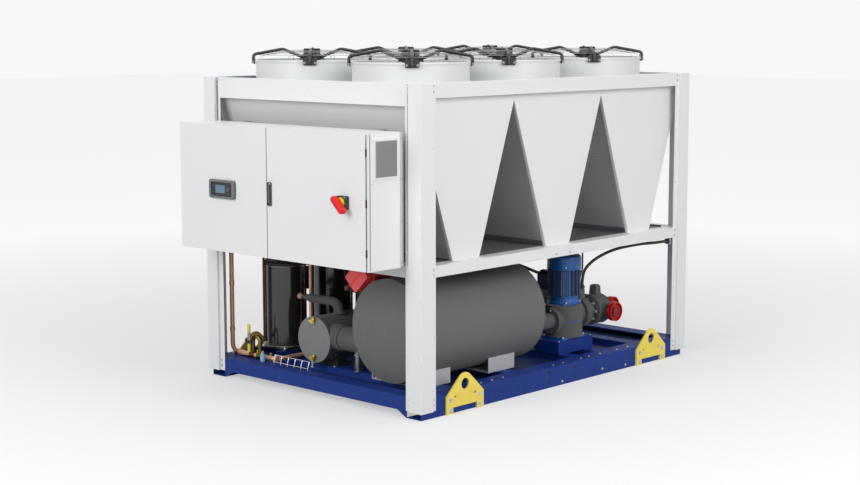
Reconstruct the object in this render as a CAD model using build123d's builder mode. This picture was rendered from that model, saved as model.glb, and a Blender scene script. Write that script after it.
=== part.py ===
"""Air-cooled water chiller: six top fans, three V-shaped coil modules, open machine bay.

Millimetres. +X is the right side, +Y the rear, +Z up. The origin lies on the ground under the
middle of the overall box. The electrical cabinet hangs on the front, towards -Y.
"""
from build123d import *
from math import cos
from math import hypot
from math import radians
from math import sin
import os

# Frame
frame_width = 2260.0
frame_length = 3142.0
frame_top = 2295.0
post_bottom = 50.0
post_face = 122.0
post_flange = 45.0
post_sheet = 3.0
beam_inset = 23.0
top_side_height = 101.0
top_front_height = 155.0
top_flange = 62.0
top_front_flange = 12.0
mid_top = 1056.0
mid_height = 80.0
mid_flange = 150.0
beam_sheet = 4.0

# Base
base_height = 150.0
base_flange = 140.0
base_sheet = 6.0
front_arch_height = 47.0
front_arch_ramp = 90.0
cross_width = 110.0
floor_level = 96.0
floor_sheet = 3.0
floor_slot_length = 360.0
floor_slot_width = 40.0
floor_slot_spacing = 1000.0
lug_width = 392.0
lug_shoulder = 121.0
lug_eye_height = 195.0
lug_eye_radius = 40.0
lug_head_radius = 80.0
lug_plate = 15.0
lug_inset = 457.0
lug_notch_width = 250.0
lug_notch_height = 44.0
lug_small_hole = 9.0
lug_small_hole_height = 118.0
lug_small_hole_spacing = 206.0

# Fans
fan_rows = 3
fan_side_gap = 195.0
fan_middle_gap = 190.0
deck_drop = 33.0
deck_sheet = 3.0
cowl_height = 161.0
cowl_sheet = 4.0
cowl_lip = 8.0
cowl_lip_height = 12.0
cowl_foot = 22.0
blade_count = 5
blade_tip_gap = 11.0
blade_sheet = 5.0
blade_rise = 68.0
blade_root_chord = 150.0
blade_tip_chord = 250.0
blade_root_pitch = 40.0
blade_tip_pitch = 20.0
hub_radius = 92.0
hub_height = 100.0
motor_radius = 62.0
motor_rise = 82.0
motor_height = 121.0
motor_fin_count = 12
motor_fin_height = 48.0
arm_radius = 7.0
arm_leg_rise = 38.0
arm_peak_radius = 212.0
arm_peak_rise = 80.0
arm_hub_rise = 9.0
arm_bend = 26.0
arm_foot_width = 100.0
arm_foot_height = 56.0
arm_foot_sheet = 5.0
guard_wire = 5.0
guard_rings = 4
guard_edge = 25.0
guard_inner = 222.0

# Coil modules
module_bottom_width = 275.0
module_apex_drop = 145.0
module_row_end = 36.5
module_gap = 1.0
module_sheet = 3.0
module_edge = 24.0
coil_inset = 40.0
coil_thickness = 35.0
tray_sheet = 4.0

# Electrical cabinet
cabinet_left_gap = 145.0
cabinet_right_gap = 158.0
cabinet_drop = 2.0
cabinet_height = 920.0
cabinet_standoff = 349.0
cabinet_neck = 35.0
cabinet_neck_inset = 6.0
cabinet_sheet = 3.0
support_width = 60.0
support_x = 700.0
door_seam = -27.0
door_seam_gap = 6.0
door_depth = 25.0
door_sheet = 2.0
door_back_gap = 6.0
hinge_radius = 6.0
hinge_pin = 3.0
hinge_fit = 0.3
hinge_edge = 10.0
hinge_knuckle = 14.0
hinge_shares = (0.136, 0.498, 0.864)
plate_margin = 60.0
plate_sheet = 3.0
plate_standoff = 25.0
rail_width = 35.0
rail_depth = 8.0
rail_rows = 4
controller_x = -499.0
controller_height_up = 457.0
controller_width = 276.0
controller_height = 133.0
controller_depth = 18.0
screen_x = -513.0
screen_width = 102.0
screen_height = 65.0
screen_recess = 3.0
knob_x = -426.0
knob_radius = 13.0
knob_height = 7.0
latch_x = 8.0
latch_height_up = 457.0
latch_width = 38.0
latch_height = 167.0
latch_depth = 12.0
latch_wall = 3.0
lever_width = 22.0
lever_length = 122.0
lever_thickness = 11.0
lever_back_gap = 2.5
isolator_x = 753.0
isolator_height_up = 453.0
isolator_size = 92.0
isolator_depth = 40.0
isolator_disc_radius = 37.0
isolator_disc_height = 4.0
isolator_gap = 5.0
isolator_fit = 0.3
isolator_shaft = 7.0
handle_depth = 44.0
handle_width = 44.0
handle_length = 146.0
handle_offset = 58.0
handle_rest_angle = 45.0
grille_plate_width = 240.0
grille_plate_height = 276.0
grille_width = 200.0
grille_height = 240.0
grille_depth = 8.0
grille_drop = 173.0
grille_bars = 11
grille_bar = 8.0

# Buffer tank and expansion vessel
tank_side = 490.0
tank_z = 540.0
tank_radius = 372.0
tank_front = 191.0
tank_dish = 60.0
saddle_width = 500.0
saddle_length = 293.0
saddle_sheet = 8.0
saddle_places = (0.17, 0.72)
vessel_thickness = 150.0
vessel_width = 182.0
vessel_length = 500.0
vessel_gap = 30.0
vessel_shift = 23.0
vessel_rim = 6.0
vessel_rim_height = 10.0
vessel_strap = 40.0

# Evaporator and compressors
evaporator_x = -213.0
evaporator_z = 358.0
evaporator_radius = 170.0
evaporator_flange = 175.0
evaporator_flange_depth = 14.0
evaporator_front = 271.0
foot_length = 90.0
foot_width = 260.0
nozzle_y = 355.0
nozzle_z = 385.0
nozzle_radius = 95.0
nozzle_reach = 235.0
drain_valve_radius = 11.0
drain_valve_length = 44.0
drain_valve_height = 140.0
compressor_side = 340.0
compressor_radius = 163.0
compressor_pitch = 500.0
compressor_front = 497.0
compressor_count = 4
compressor_shell = 632.0
compressor_dome = 26.0
compressor_rim = 5.0
compressor_rim_height = 12.0
compressor_plate = 300.0
compressor_plate_sheet = 8.0
compressor_skirt = 14.0
rail_section = 60.0
rail_height = 45.0
rail_spacing = 240.0
suction_z = 610.0
suction_radius = 25.0
suction_bend = 70.0
suction_collar = 17.0
suction_collar_length = 85.0
copper_radius = 17.5
copper_bend = 60.0
riser_radius = 12.0
riser_bend = 28.0
riser_left_side = 118.0
riser_left_z = 245.0
riser_right_gap = 42.0
riser_right_z = 380.0
riser_right_shift = 74.0
liquid_side = 85.0
liquid_y = 171.0
liquid_z = 175.0
liquid_turn_share = 0.4
liquid_turn_y = 671.0
valve_run = 239.0
valve_body_z = 280.0
valve_body_radius = 22.0
valve_body_length = 70.0
valve_tee_radius = 23.0
valve_tee_length = 54.0
valve_stem = 12.0
valve_arch = 42.0
valve_arch_radius = 17.0
valve_lever_top = 415.0
valve_lever_width = 20.0
valve_lever_sheet = 5.0
drier_run = 169.0
drier_y = 121.0
drier_radius = 20.0
drier_height = 66.0
drier_neck = 9.0
side_post_y = 1066.0
side_post_radius = 26.0
side_post_foot = 90.0

# Pump and water pipes
pump_side = 393.0
plinth_width = 246.0
plinth_length = 429.0
plinth_height = 100.0
pump_foot = 16.0
pump_foot_margin = 14.0
volute_radius = 146.0
volute_height = 250.0
motor_flange_radius = 105.0
motor_flange_height = 72.0
pump_motor_radius = 118.0
pump_motor_fin = 12.0
pump_motor_fins = 20
pump_motor_height = 203.0
fan_cover_radius = 131.0
fan_cover_height = 110.0
terminal_width = 90.0
terminal_length = 110.0
terminal_height = 120.0
terminal_rise = 97.0
inlet_z = 400.0
inlet_radius = 95.0
inlet_pipe = 60.0
inlet_boss = 30.0
inlet_run = 301.0
water_z = 422.0
outlet_boss = 15.0
outlet_boss_radius = 92.0
outlet_radius = 118.0
outlet_first = 68.0
outlet_gap = 85.0
outlet_last = 172.0
outlet_neck_radius = 74.0
outlet_round = 22.0
flange_radius = 100.0
flange_sheet = 14.0
flange_bolt = 8.0
flange_bolts = 8
link_radius = 88.0
branch_radius = 66.0
branch_reach = 176.0
cap_radius = 76.0
cap_depth = 42.0
cap_wall = 7.0
cap_floor = 20.0
neck_width = 70.0
neck_length = 68.0
neck_sink = 16.0
neck_top = 620.0
return_back = 501.0
return_gap = 45.0
return_reach = 170.0
return_radius = 66.0
return_bend = 120.0
seat = 0.3

# Places that follow from the sizes above
isolator_front = isolator_depth + isolator_gap + handle_depth
front_projection = cabinet_standoff + isolator_front
y_middle = front_projection / 2
half_width = frame_width / 2
y_front = y_middle - frame_length / 2
y_rear = y_middle + frame_length / 2
beam_x = half_width - beam_inset
beam_front = y_front + beam_inset
beam_rear = y_rear - beam_inset
cabinet_front = y_front - cabinet_standoff
cabinet_left = cabinet_left_gap - half_width
cabinet_right = half_width - cabinet_right_gap
cabinet_bottom = mid_top - cabinet_drop
cabinet_top = cabinet_bottom + cabinet_height
controller_z = cabinet_bottom + controller_height_up
latch_z = cabinet_bottom + latch_height_up
isolator_z = cabinet_bottom + isolator_height_up
grille_z = cabinet_top - grille_drop
hinge_heights = [cabinet_height * share for share in hinge_shares]
body_front = cabinet_front + door_depth + door_back_gap
body_back = y_front - cabinet_neck
deck_top = frame_top - deck_drop
deck_bottom = deck_top - deck_sheet
mid_bottom = mid_top - mid_height
module_x = beam_x - top_flange
module_apex = frame_top - module_apex_drop
cowl_radius = (frame_width - 2 * fan_side_gap - fan_middle_gap) / 4
cowl_top = deck_top + cowl_height
blade_middle = deck_top + blade_rise
motor_top = cowl_top + motor_rise
motor_bottom = motor_top - motor_height
arm_leg_top = cowl_top + arm_leg_rise
arm_peak_top = cowl_top + arm_peak_rise
arm_hub_top = cowl_top + arm_hub_rise
guard_step = (cowl_radius - guard_edge - guard_inner) / (guard_rings - 1)
fan_pitch = (frame_length - 2 * module_row_end) / fan_rows
fan_x = cowl_radius + fan_middle_gap / 2
fan_y = [y_middle + fan_pitch * (i - (fan_rows - 1) / 2) for i in range(fan_rows)]
fan_places = [(x, y) for x in (-fan_x, fan_x) for y in fan_y]
lug_spacing = frame_length - 2 * lug_inset
tank_x = half_width - tank_side
pump_x = half_width - pump_side
compressor_x = compressor_side - half_width
riser_left_x = riser_left_side - half_width
riser_right_x = compressor_x + compressor_radius + riser_right_gap
liquid_x = liquid_side - half_width
valve_x = liquid_x + valve_run
drier_x = valve_x + drier_run

# Places along the row, worked out from the rear: return pipe, outlet, pump, tank, evaporator
return_line = y_rear - return_back
outlet_length = outlet_first + outlet_gap + outlet_last
outlet_start = return_line - return_radius - return_gap - outlet_length
plinth_y = outlet_start - volute_radius - outlet_boss - seat
tank_start = y_front + tank_front
tank_end = plinth_y - volute_radius - 2 * inlet_boss - inlet_run - tank_dish
tank_length = tank_end - tank_start
evaporator_start = y_front + evaporator_front
evaporator_end = return_line - return_reach
evaporator_length = evaporator_end - evaporator_start

os.makedirs("parts", exist_ok=True)


def save(piece, name):
    """Labels a finished piece and writes it as its own file."""
    piece.part.label = name
    export_step(piece.part, f"parts/{name}.step")


def along_y(x, y, z, inwards):
    """A plane for a beam that runs towards +Y, its web at x and its flanges towards inwards."""
    if inwards < 0:
        return Plane(origin=(x, y, z), x_dir=(-1, 0, 0), z_dir=(0, 1, 0))
    return Plane(origin=(x, y, z), x_dir=(1, 0, 0), z_dir=(0, -1, 0))


def along_x(x, y, z, inwards):
    """A plane for a beam that runs along X, its web at y and its flanges towards inwards."""
    if inwards > 0:
        return Plane(origin=(x, y, z), x_dir=(0, 1, 0), z_dir=(1, 0, 0))
    return Plane(origin=(x, y, z), x_dir=(0, -1, 0), z_dir=(-1, 0, 0))


def pipe(points, radius, bend=0.0):
    """A round pipe along straight runs with rounded corners."""
    with BuildPart() as run:
        with BuildLine():
            path = FilletPolyline(*points, radius=bend) if bend else Line(*points)
        with BuildSketch(Plane(origin=path @ 0, z_dir=path % 0)):
            Circle(radius)
        sweep()
    return run.part


# Base: two open-ended side channels, an arched front beam, a rear beam and cross members
side_beam_length = beam_rear - beam_front
with BuildPart() as base_side_beams:
    with BuildSketch(along_y(beam_x, beam_front, 0, -1)):
        Rectangle(base_flange, base_height, align=(Align.MIN, Align.MIN))
        with Locations((base_sheet, base_sheet)):
            Rectangle(base_flange, base_height - 2 * base_sheet, align=(Align.MIN, Align.MIN),
                      mode=Mode.SUBTRACT)
    extrude(amount=side_beam_length)
    mirror(about=Plane.YZ)
save(base_side_beams, "base_side_beams")

inner_x = beam_x - base_flange
with BuildPart() as base_front_beam:
    with BuildSketch(Plane.XZ.offset(-beam_front)):
        with BuildLine():
            Polyline((-inner_x, 0), (-inner_x, base_height), (inner_x, base_height), (inner_x, 0),
                     (inner_x - base_sheet, 0), (inner_x - front_arch_ramp, front_arch_height),
                     (front_arch_ramp - inner_x, front_arch_height), (base_sheet - inner_x, 0),
                     close=True)
        make_face()
    extrude(amount=-base_sheet)
    with BuildSketch(Plane.XY.offset(base_height)):
        with Locations((0, beam_front + base_flange / 2)):
            Rectangle(2 * inner_x, base_flange)
    extrude(amount=-base_sheet)
    with BuildSketch(Plane.XY.offset(front_arch_height)):
        with Locations((0, beam_front + base_flange / 2)):
            Rectangle(2 * (inner_x - front_arch_ramp), base_flange)
    extrude(amount=base_sheet)
save(base_front_beam, "base_front_beam")

with BuildPart() as base_rear_beam:
    with BuildSketch(along_x(inner_x, beam_rear, 0, -1)):
        Rectangle(base_flange, base_height, align=(Align.MIN, Align.MIN))
        with Locations((base_sheet, base_sheet)):
            Rectangle(base_flange, base_height - 2 * base_sheet, align=(Align.MIN, Align.MIN),
                      mode=Mode.SUBTRACT)
    extrude(amount=2 * inner_x)
save(base_rear_beam, "base_rear_beam")

saddle_y = [tank_start + tank_length * share for share in saddle_places]
cross_y = saddle_y + [plinth_y - 0.35 * plinth_length, plinth_y + 0.35 * plinth_length, return_line]
with BuildPart() as base_cross_beams:
    for y in cross_y:
        with BuildSketch(Plane(origin=(-inner_x, y, 0), x_dir=(0, 1, 0), z_dir=(1, 0, 0))):
            with Locations((0, base_height / 2)):
                Rectangle(cross_width, base_height)
            with Locations((0, (base_height - base_sheet) / 2)):
                Rectangle(cross_width - 2 * base_sheet, base_height - base_sheet,
                          mode=Mode.SUBTRACT)
        extrude(amount=2 * inner_x)
save(base_cross_beams, "base_cross_beams")

# Sheet floor between the beams, below their tops, with drain slots in each bay
walls = [beam_front + base_sheet]
for y in cross_y:
    walls += [y - cross_width / 2, y + cross_width / 2]
walls.append(beam_rear - base_sheet)
with BuildPart() as base_floor:
    for start, end in zip(walls[::2], walls[1::2]):
        with BuildSketch(Plane.XY.offset(floor_level)):
            with Locations((0, (start + end) / 2)):
                Rectangle(2 * inner_x, end - start)
                with GridLocations(floor_slot_spacing, 0, 2, 1):
                    SlotOverall(floor_slot_length, floor_slot_width, mode=Mode.SUBTRACT)
        extrude(amount=floor_sheet)
save(base_floor, "base_floor")

with BuildPart() as lifting_lugs:
    with BuildSketch(Plane(origin=(beam_x, y_middle, 0), x_dir=(0, 1, 0), z_dir=(1, 0, 0))) as lug:
        with Locations((0, lug_shoulder / 2)):
            Rectangle(lug_width, lug_shoulder)
        with Locations((0, lug_eye_height)):
            Circle(lug_head_radius)
        make_hull()
        with Locations((0, lug_notch_height / 2)):
            Rectangle(lug_notch_width, lug_notch_height, mode=Mode.SUBTRACT)
        with Locations((0, lug_eye_height)):
            Circle(lug_eye_radius, mode=Mode.SUBTRACT)
        with Locations((0, lug_small_hole_height)):
            with GridLocations(lug_small_hole_spacing, 0, 2, 1):
                Circle(lug_small_hole, mode=Mode.SUBTRACT)
    extrude(amount=lug_plate)
    lug_solid = lifting_lugs.part
with BuildPart() as lugs:
    for y in (-lug_spacing / 2, lug_spacing / 2):
        add(lug_solid.moved(Location((0, y, 0))))
    mirror(about=Plane.YZ)
save(lugs, "lifting_lugs")

# Corner posts: folded sheet, a flat face on each side, then a fold back to a bolted flange
half_sheet = post_sheet / 2
leg = [(post_face - half_sheet, half_sheet), (post_face - half_sheet, beam_inset - half_sheet),
       (post_face + post_flange, beam_inset - half_sheet)]
with BuildPart() as corner_posts:
    with BuildSketch(Plane.XY.offset(post_bottom)):
        with BuildLine():
            Polyline(*[(half_width - u, y_front + d) for u, d in reversed(leg)],
                     (half_width - half_sheet, y_front + half_sheet),
                     *[(half_width - d, y_front + u) for u, d in leg])
        trace(line_width=post_sheet)
    extrude(amount=frame_top - post_bottom)
    mirror(about=Plane.YZ)
    mirror(about=Plane.XZ.offset(-y_middle))
save(corner_posts, "corner_posts")

# Top and middle beams
with BuildPart() as top_side_beams:
    with BuildSketch(along_y(beam_x, beam_front, frame_top - top_side_height, -1)):
        Rectangle(top_flange, top_side_height, align=(Align.MIN, Align.MIN))
        with Locations((beam_sheet, beam_sheet)):
            Rectangle(top_flange, top_side_height - 2 * beam_sheet, align=(Align.MIN, Align.MIN),
                      mode=Mode.SUBTRACT)
    extrude(amount=side_beam_length)
    mirror(about=Plane.YZ)
save(top_side_beams, "top_side_beams")

top_inner = beam_x - top_flange
for name, y, inwards in (("top_front_beam", beam_front, 1), ("top_rear_beam", beam_rear, -1)):
    with BuildPart() as top_beam:
        with BuildSketch(along_x(-inwards * top_inner, y, frame_top - top_front_height, inwards)):
            Rectangle(top_front_flange, top_front_height, align=(Align.MIN, Align.MIN))
            with Locations((beam_sheet, beam_sheet)):
                Rectangle(top_front_flange, top_front_height - 2 * beam_sheet,
                          align=(Align.MIN, Align.MIN), mode=Mode.SUBTRACT)
        extrude(amount=2 * top_inner)
    save(top_beam, name)

with BuildPart() as mid_side_beams:
    with BuildSketch(along_y(beam_x, beam_front, mid_bottom, -1)):
        Rectangle(mid_flange, mid_height, align=(Align.MIN, Align.MIN))
        with Locations((beam_sheet, beam_sheet)):
            Rectangle(mid_flange, mid_height - 2 * beam_sheet, align=(Align.MIN, Align.MIN),
                      mode=Mode.SUBTRACT)
    extrude(amount=side_beam_length)
    mirror(about=Plane.YZ)
save(mid_side_beams, "mid_side_beams")

mid_inner = beam_x - mid_flange
for name, y, inwards in (("mid_front_beam", beam_front, 1), ("mid_rear_beam", beam_rear, -1)):
    with BuildPart() as mid_beam:
        with BuildSketch(along_x(-inwards * mid_inner, y, mid_bottom, inwards)):
            Rectangle(mid_flange, mid_height, align=(Align.MIN, Align.MIN))
            with Locations((beam_sheet, beam_sheet)):
                Rectangle(mid_flange, mid_height - 2 * beam_sheet, align=(Align.MIN, Align.MIN),
                          mode=Mode.SUBTRACT)
        extrude(amount=2 * mid_inner)
    save(mid_beam, name)

# Fan deck with one round hole under each fan
with BuildPart() as fan_deck:
    with BuildSketch(Plane.XY.offset(deck_bottom)):
        with Locations((0, y_middle)):
            Rectangle(2 * (beam_x - beam_sheet), side_beam_length - 2 * beam_sheet)
        with Locations(*fan_places):
            Circle(cowl_radius - cowl_sheet, mode=Mode.SUBTRACT)
    extrude(amount=deck_sheet)
save(fan_deck, "fan_deck")

# Fan cowls: a turned sheet ring with a foot on the deck and a rolled lip
with BuildPart() as fan_cowls:
    with BuildSketch(Plane.XZ):
        with BuildLine():
            Polyline((cowl_radius - cowl_sheet, deck_top), (cowl_radius + cowl_foot, deck_top),
                     (cowl_radius + cowl_foot, deck_top + cowl_sheet),
                     (cowl_radius, deck_top + cowl_sheet),
                     (cowl_radius, cowl_top - cowl_lip_height),
                     (cowl_radius + cowl_lip, cowl_top - cowl_lip_height),
                     (cowl_radius + cowl_lip, cowl_top), (cowl_radius - cowl_sheet, cowl_top),
                     close=True)
        make_face()
    revolve(axis=Axis.Z)
    cowl = fan_cowls.part
with BuildPart() as cowls:
    for x, y in fan_places:
        add(cowl.moved(Location((x, y, 0))))
save(cowls, "fan_cowls")


def arm_height(radius):
    """Height of an arm's centre line over its long upper run."""
    share = (arm_leg_radius - radius) / (arm_leg_radius - arm_peak_radius)
    return arm_leg_top + share * (arm_peak_top - arm_leg_top)


# Four bent rods carry each motor from brackets on the cowl's lip
foot_face = cowl_radius + cowl_lip
arm_leg_radius = foot_face + arm_foot_sheet + arm_radius
foot_bottom = cowl_top - 0.6 * arm_foot_height
with BuildPart() as one_arm:
    with BuildLine() as arm_line:
        FilletPolyline((arm_leg_radius, 0, foot_bottom + arm_radius),
                       (arm_leg_radius, 0, arm_leg_top), (arm_peak_radius, 0, arm_peak_top),
                       (0.8 * motor_radius, 0, arm_hub_top), radius=arm_bend)
    with BuildSketch(Plane(origin=arm_line.line @ 0, z_dir=arm_line.line % 0)):
        RegularPolygon(arm_radius, 8)
    sweep()
    with BuildSketch(Plane.XY.offset(motor_bottom)):
        Circle(motor_radius)
    extrude(amount=motor_top - motor_bottom, mode=Mode.SUBTRACT)
    with BuildSketch(Plane.YZ.offset(foot_face)):
        with Locations((0, foot_bottom + arm_foot_height / 2)):
            RectangleRounded(arm_foot_width, arm_foot_height, 10)
    extrude(amount=arm_foot_sheet)
    arm = one_arm.part
with BuildPart() as fan_arms:
    for x, y in fan_places:
        for turn in (45, 135, 225, 315):
            add(arm.moved(Location((x, y, 0), (0, 0, turn))))
save(fan_arms, "fan_arms")

with BuildPart() as one_guard:
    slope = (arm_peak_top - arm_leg_top) / (arm_leg_radius - arm_peak_radius)
    for i in range(guard_rings):
        radius = guard_inner + guard_step * i
        drop = arm_radius * hypot(1, slope) + guard_wire * (1 + slope) / 2 + seat
        with BuildSketch(Plane.XZ):
            with Locations((radius, arm_height(radius) - drop)):
                Rectangle(guard_wire, guard_wire)
        revolve(axis=Axis.Z)
    guard = one_guard.part
with BuildPart() as fan_guards:
    for x, y in fan_places:
        add(guard.moved(Location((x, y, 0))))
save(fan_guards, "fan_guards")

with BuildPart() as one_motor:
    with BuildSketch(Plane.XY.offset(motor_bottom)):
        Circle(motor_radius)
    extrude(amount=motor_top - motor_bottom - motor_fin_height)
    with BuildSketch(Plane.XY.offset(motor_top - motor_fin_height)):
        Circle(0.6 * motor_radius)
        with PolarLocations(0.5 * motor_radius, motor_fin_count):
            Rectangle(motor_radius, 6)
    extrude(amount=motor_fin_height)
    fan_motor = one_motor.part
with BuildPart() as fan_motors:
    for x, y in fan_places:
        add(fan_motor.moved(Location((x, y, 0))))
save(fan_motors, "fan_motors")


def blade_section(radius, chord, pitch):
    """A curved blade section, square to the blade's length, at one radius."""
    plane = Plane(origin=(radius, 0, blade_middle), x_dir=(0, 1, 0), z_dir=(1, 0, 0))
    with BuildSketch(plane.rotated((0, 0, pitch))) as section:
        with BuildLine():
            ThreePointArc((-chord / 2, 0), (0, 0.09 * chord), (chord / 2, 0))
            Line((chord / 2, 0), (chord / 2, -blade_sheet))
            ThreePointArc((chord / 2, -blade_sheet), (0, 0.09 * chord - blade_sheet),
                          (-chord / 2, -blade_sheet))
            Line((-chord / 2, -blade_sheet), (-chord / 2, 0))
        make_face()
    return section.sketch


# Impeller: a hub drum under the motor with twisted, cambered blades
blade_tip = cowl_radius - cowl_sheet - blade_tip_gap
hub_top = motor_bottom
root = blade_section(hub_radius - 6, blade_root_chord, blade_root_pitch)
tip = blade_section(blade_tip, blade_tip_chord, blade_tip_pitch)
with BuildPart() as one_blade:
    loft(sections=[root, tip], ruled=True)
    blade = one_blade.part
with BuildPart() as one_impeller:
    with BuildSketch(Plane.XY.offset(hub_top - hub_height)):
        Circle(hub_radius)
    extrude(amount=hub_height)
    for i in range(blade_count):
        add(blade.moved(Location((0, 0, 0), (0, 0, i * 360 / blade_count))))
    with BuildSketch(Plane.XY.offset(blade_middle)):
        Circle(blade_tip)
    extrude(amount=2 * hub_height, both=True, mode=Mode.INTERSECT)
    impeller = one_impeller.part
with BuildPart() as fan_impellers:
    for x, y in fan_places:
        add(impeller.moved(Location((x, y, 0))))
save(fan_impellers, "fan_impellers")

# Coil modules: V-shaped end plates with folded edges, slanted coils between them
module_half = (fan_pitch - module_gap) / 2
module_slope = (module_half - module_bottom_width / 2) / (module_apex - mid_top)


def plate_half(z):
    """Half the width of an end plate at a height."""
    return min(module_half, module_bottom_width / 2 + module_slope * (z - mid_top))


with BuildPart() as one_plate:
    with BuildSketch(Plane(origin=(module_x, 0, 0), x_dir=(0, 1, 0), z_dir=(1, 0, 0))):
        with BuildLine():
            Polyline((-plate_half(mid_top), mid_top), (plate_half(mid_top), mid_top),
                     (module_half, module_apex), (module_half, deck_bottom),
                     (-module_half, deck_bottom), (-module_half, module_apex), close=True)
        make_face()
    extrude(amount=-module_edge)
    inner_face = one_plate.faces().sort_by(Axis.X)[0]
    offset(amount=-module_sheet, openings=inner_face)
    end_plate = one_plate.part
with BuildPart() as module_end_plates:
    for y in fan_y:
        add(end_plate.moved(Location((0, y, 0))))
    mirror(about=Plane.YZ)
save(module_end_plates, "module_end_plates")

tray_top = mid_top + module_sheet + tray_sheet
coil_reach = module_x - module_sheet
coil_top = deck_bottom - module_sheet


def coil_half(z):
    """Distance of a coil's outer face from the module's middle at a height."""
    return module_bottom_width / 2 - coil_inset + module_slope * (z - mid_top)


def coil_outline(y, side):
    """Section of one slanted coil, from the tray to under the end plate's top fold."""
    return [(y + side * coil_half(tray_top), tray_top),
            (y + side * coil_half(coil_top), coil_top),
            (y + side * (coil_half(coil_top) - coil_thickness), coil_top),
            (y + side * (coil_half(tray_top) - coil_thickness), tray_top)]


coil_sides = [(y, side) for y in fan_y for side in (-1, 1)]
with BuildPart() as front_screen:
    with BuildSketch(Plane(origin=(-coil_reach, 0, 0), x_dir=(0, 1, 0), z_dir=(1, 0, 0))):
        with BuildLine():
            Polyline(*coil_outline(*coil_sides[0]), close=True)
        make_face()
    extrude(amount=2 * coil_reach)
save(front_screen, "front_screen")

with BuildPart() as coil_panels:
    for y, side in coil_sides[1:]:
        with BuildSketch(Plane(origin=(-coil_reach, 0, 0), x_dir=(0, 1, 0), z_dir=(1, 0, 0))):
            with BuildLine():
                Polyline(*coil_outline(y, side), close=True)
            make_face()
        extrude(amount=2 * coil_reach)
save(coil_panels, "coil_panels")

with BuildPart() as drain_trays:
    for y in fan_y:
        with BuildSketch(Plane.XY.offset(mid_top + module_sheet)):
            with Locations((0, y)):
                Rectangle(2 * coil_reach, 2 * coil_half(tray_top))
        extrude(amount=tray_sheet)
save(drain_trays, "drain_trays")

# Electrical cabinet: hollow body, fixed left panel, hinged right door
cabinet_width = cabinet_right - cabinet_left
cabinet_mid = (cabinet_right + cabinet_left) / 2
cabinet_mid_z = cabinet_bottom + cabinet_height / 2
with BuildPart() as cabinet_body:
    with BuildSketch(Plane.XZ.offset(-body_front)):
        with Locations((cabinet_mid, cabinet_mid_z)):
            Rectangle(cabinet_width, cabinet_height)
    extrude(amount=-(body_back - body_front))
    with BuildSketch(Plane.XZ.offset(-body_back)):
        with Locations((cabinet_mid, cabinet_mid_z)):
            Rectangle(cabinet_width - 2 * cabinet_neck_inset, cabinet_height - 2 * cabinet_neck_inset)
    extrude(amount=-cabinet_neck)
    with BuildSketch(Plane.XZ.offset(-body_front)):
        with Locations((cabinet_mid, cabinet_mid_z)):
            Rectangle(cabinet_width - 2 * cabinet_sheet, cabinet_height - 2 * cabinet_sheet)
    extrude(amount=-(body_back - body_front - cabinet_sheet), mode=Mode.SUBTRACT)
    with BuildSketch(Plane.XZ.offset(-body_front)):
        with Locations((cabinet_mid, cabinet_mid_z)):
            Rectangle(cabinet_width - 2 * (cabinet_neck_inset + cabinet_sheet),
                      cabinet_height - 2 * (cabinet_neck_inset + cabinet_sheet))
    extrude(amount=-(y_front - body_front - cabinet_sheet), mode=Mode.SUBTRACT)
    with BuildSketch(Plane.XY.offset(cabinet_bottom)):
        with Locations((cabinet_right - cabinet_sheet / 2, (body_front + cabinet_front) / 2)):
            Rectangle(cabinet_sheet, body_front - cabinet_front)
    extrude(amount=cabinet_height)
save(cabinet_body, "cabinet_body")

with BuildPart() as cabinet_supports:
    for x in (-support_x, support_x):
        with BuildSketch(Plane.XY.offset(mid_top)):
            with Locations((x, y_front + beam_inset + support_width / 2)):
                Rectangle(support_width, support_width)
                Rectangle(support_width - 2 * beam_sheet, support_width - 2 * beam_sheet,
                          mode=Mode.SUBTRACT)
        extrude(amount=cabinet_top - mid_top)
        with BuildSketch(Plane.XZ.offset(-y_front)):
            with Locations((x, mid_top + 40), (x, cabinet_top - 60)):
                Rectangle(support_width, 60)
        extrude(amount=-beam_inset)
save(cabinet_supports, "cabinet_supports")

door_left = door_seam + door_seam_gap / 2
panel_right = door_seam - door_seam_gap / 2
with BuildPart() as cabinet_left_panel:
    with BuildSketch(Plane.XZ.offset(-cabinet_front)):
        with Locations(((cabinet_left + panel_right) / 2, cabinet_mid_z)):
            Rectangle(panel_right - cabinet_left, cabinet_height)
    extrude(amount=-(body_front - cabinet_front))
    back = cabinet_left_panel.faces().sort_by(Axis.Y)[-1]
    offset(amount=-door_sheet, openings=back)
save(cabinet_left_panel, "cabinet_left_panel")

# Door: a shallow tray whose right edge stops short of the hinge barrels
hinge_x = cabinet_right - hinge_edge
hinge_y = cabinet_front + hinge_radius - 2
door_right = hinge_x - hinge_radius - 1
leaf_length = hinge_radius + 1 + 2
with BuildPart() as cabinet_door:
    with BuildSketch(Plane.XZ.offset(-cabinet_front)):
        with Locations(((door_left + door_right) / 2, cabinet_mid_z)):
            Rectangle(door_right - door_left, cabinet_height)
    extrude(amount=-door_depth)
    offset(amount=-door_sheet, openings=cabinet_door.faces().sort_by(Axis.Y)[-1])
    for z in hinge_heights:
        with BuildSketch(Plane.XY.offset(cabinet_bottom + z - hinge_knuckle / 2 + hinge_fit)):
            with Locations((hinge_x, hinge_y)):
                Circle(hinge_radius)
            with Locations((hinge_x - leaf_length / 2, hinge_y)):
                Rectangle(leaf_length, 3)
            with Locations((hinge_x, hinge_y)):
                Circle(hinge_pin + hinge_fit, mode=Mode.SUBTRACT)
        extrude(amount=hinge_knuckle - 2 * hinge_fit)
save(cabinet_door, "cabinet_door")

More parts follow.
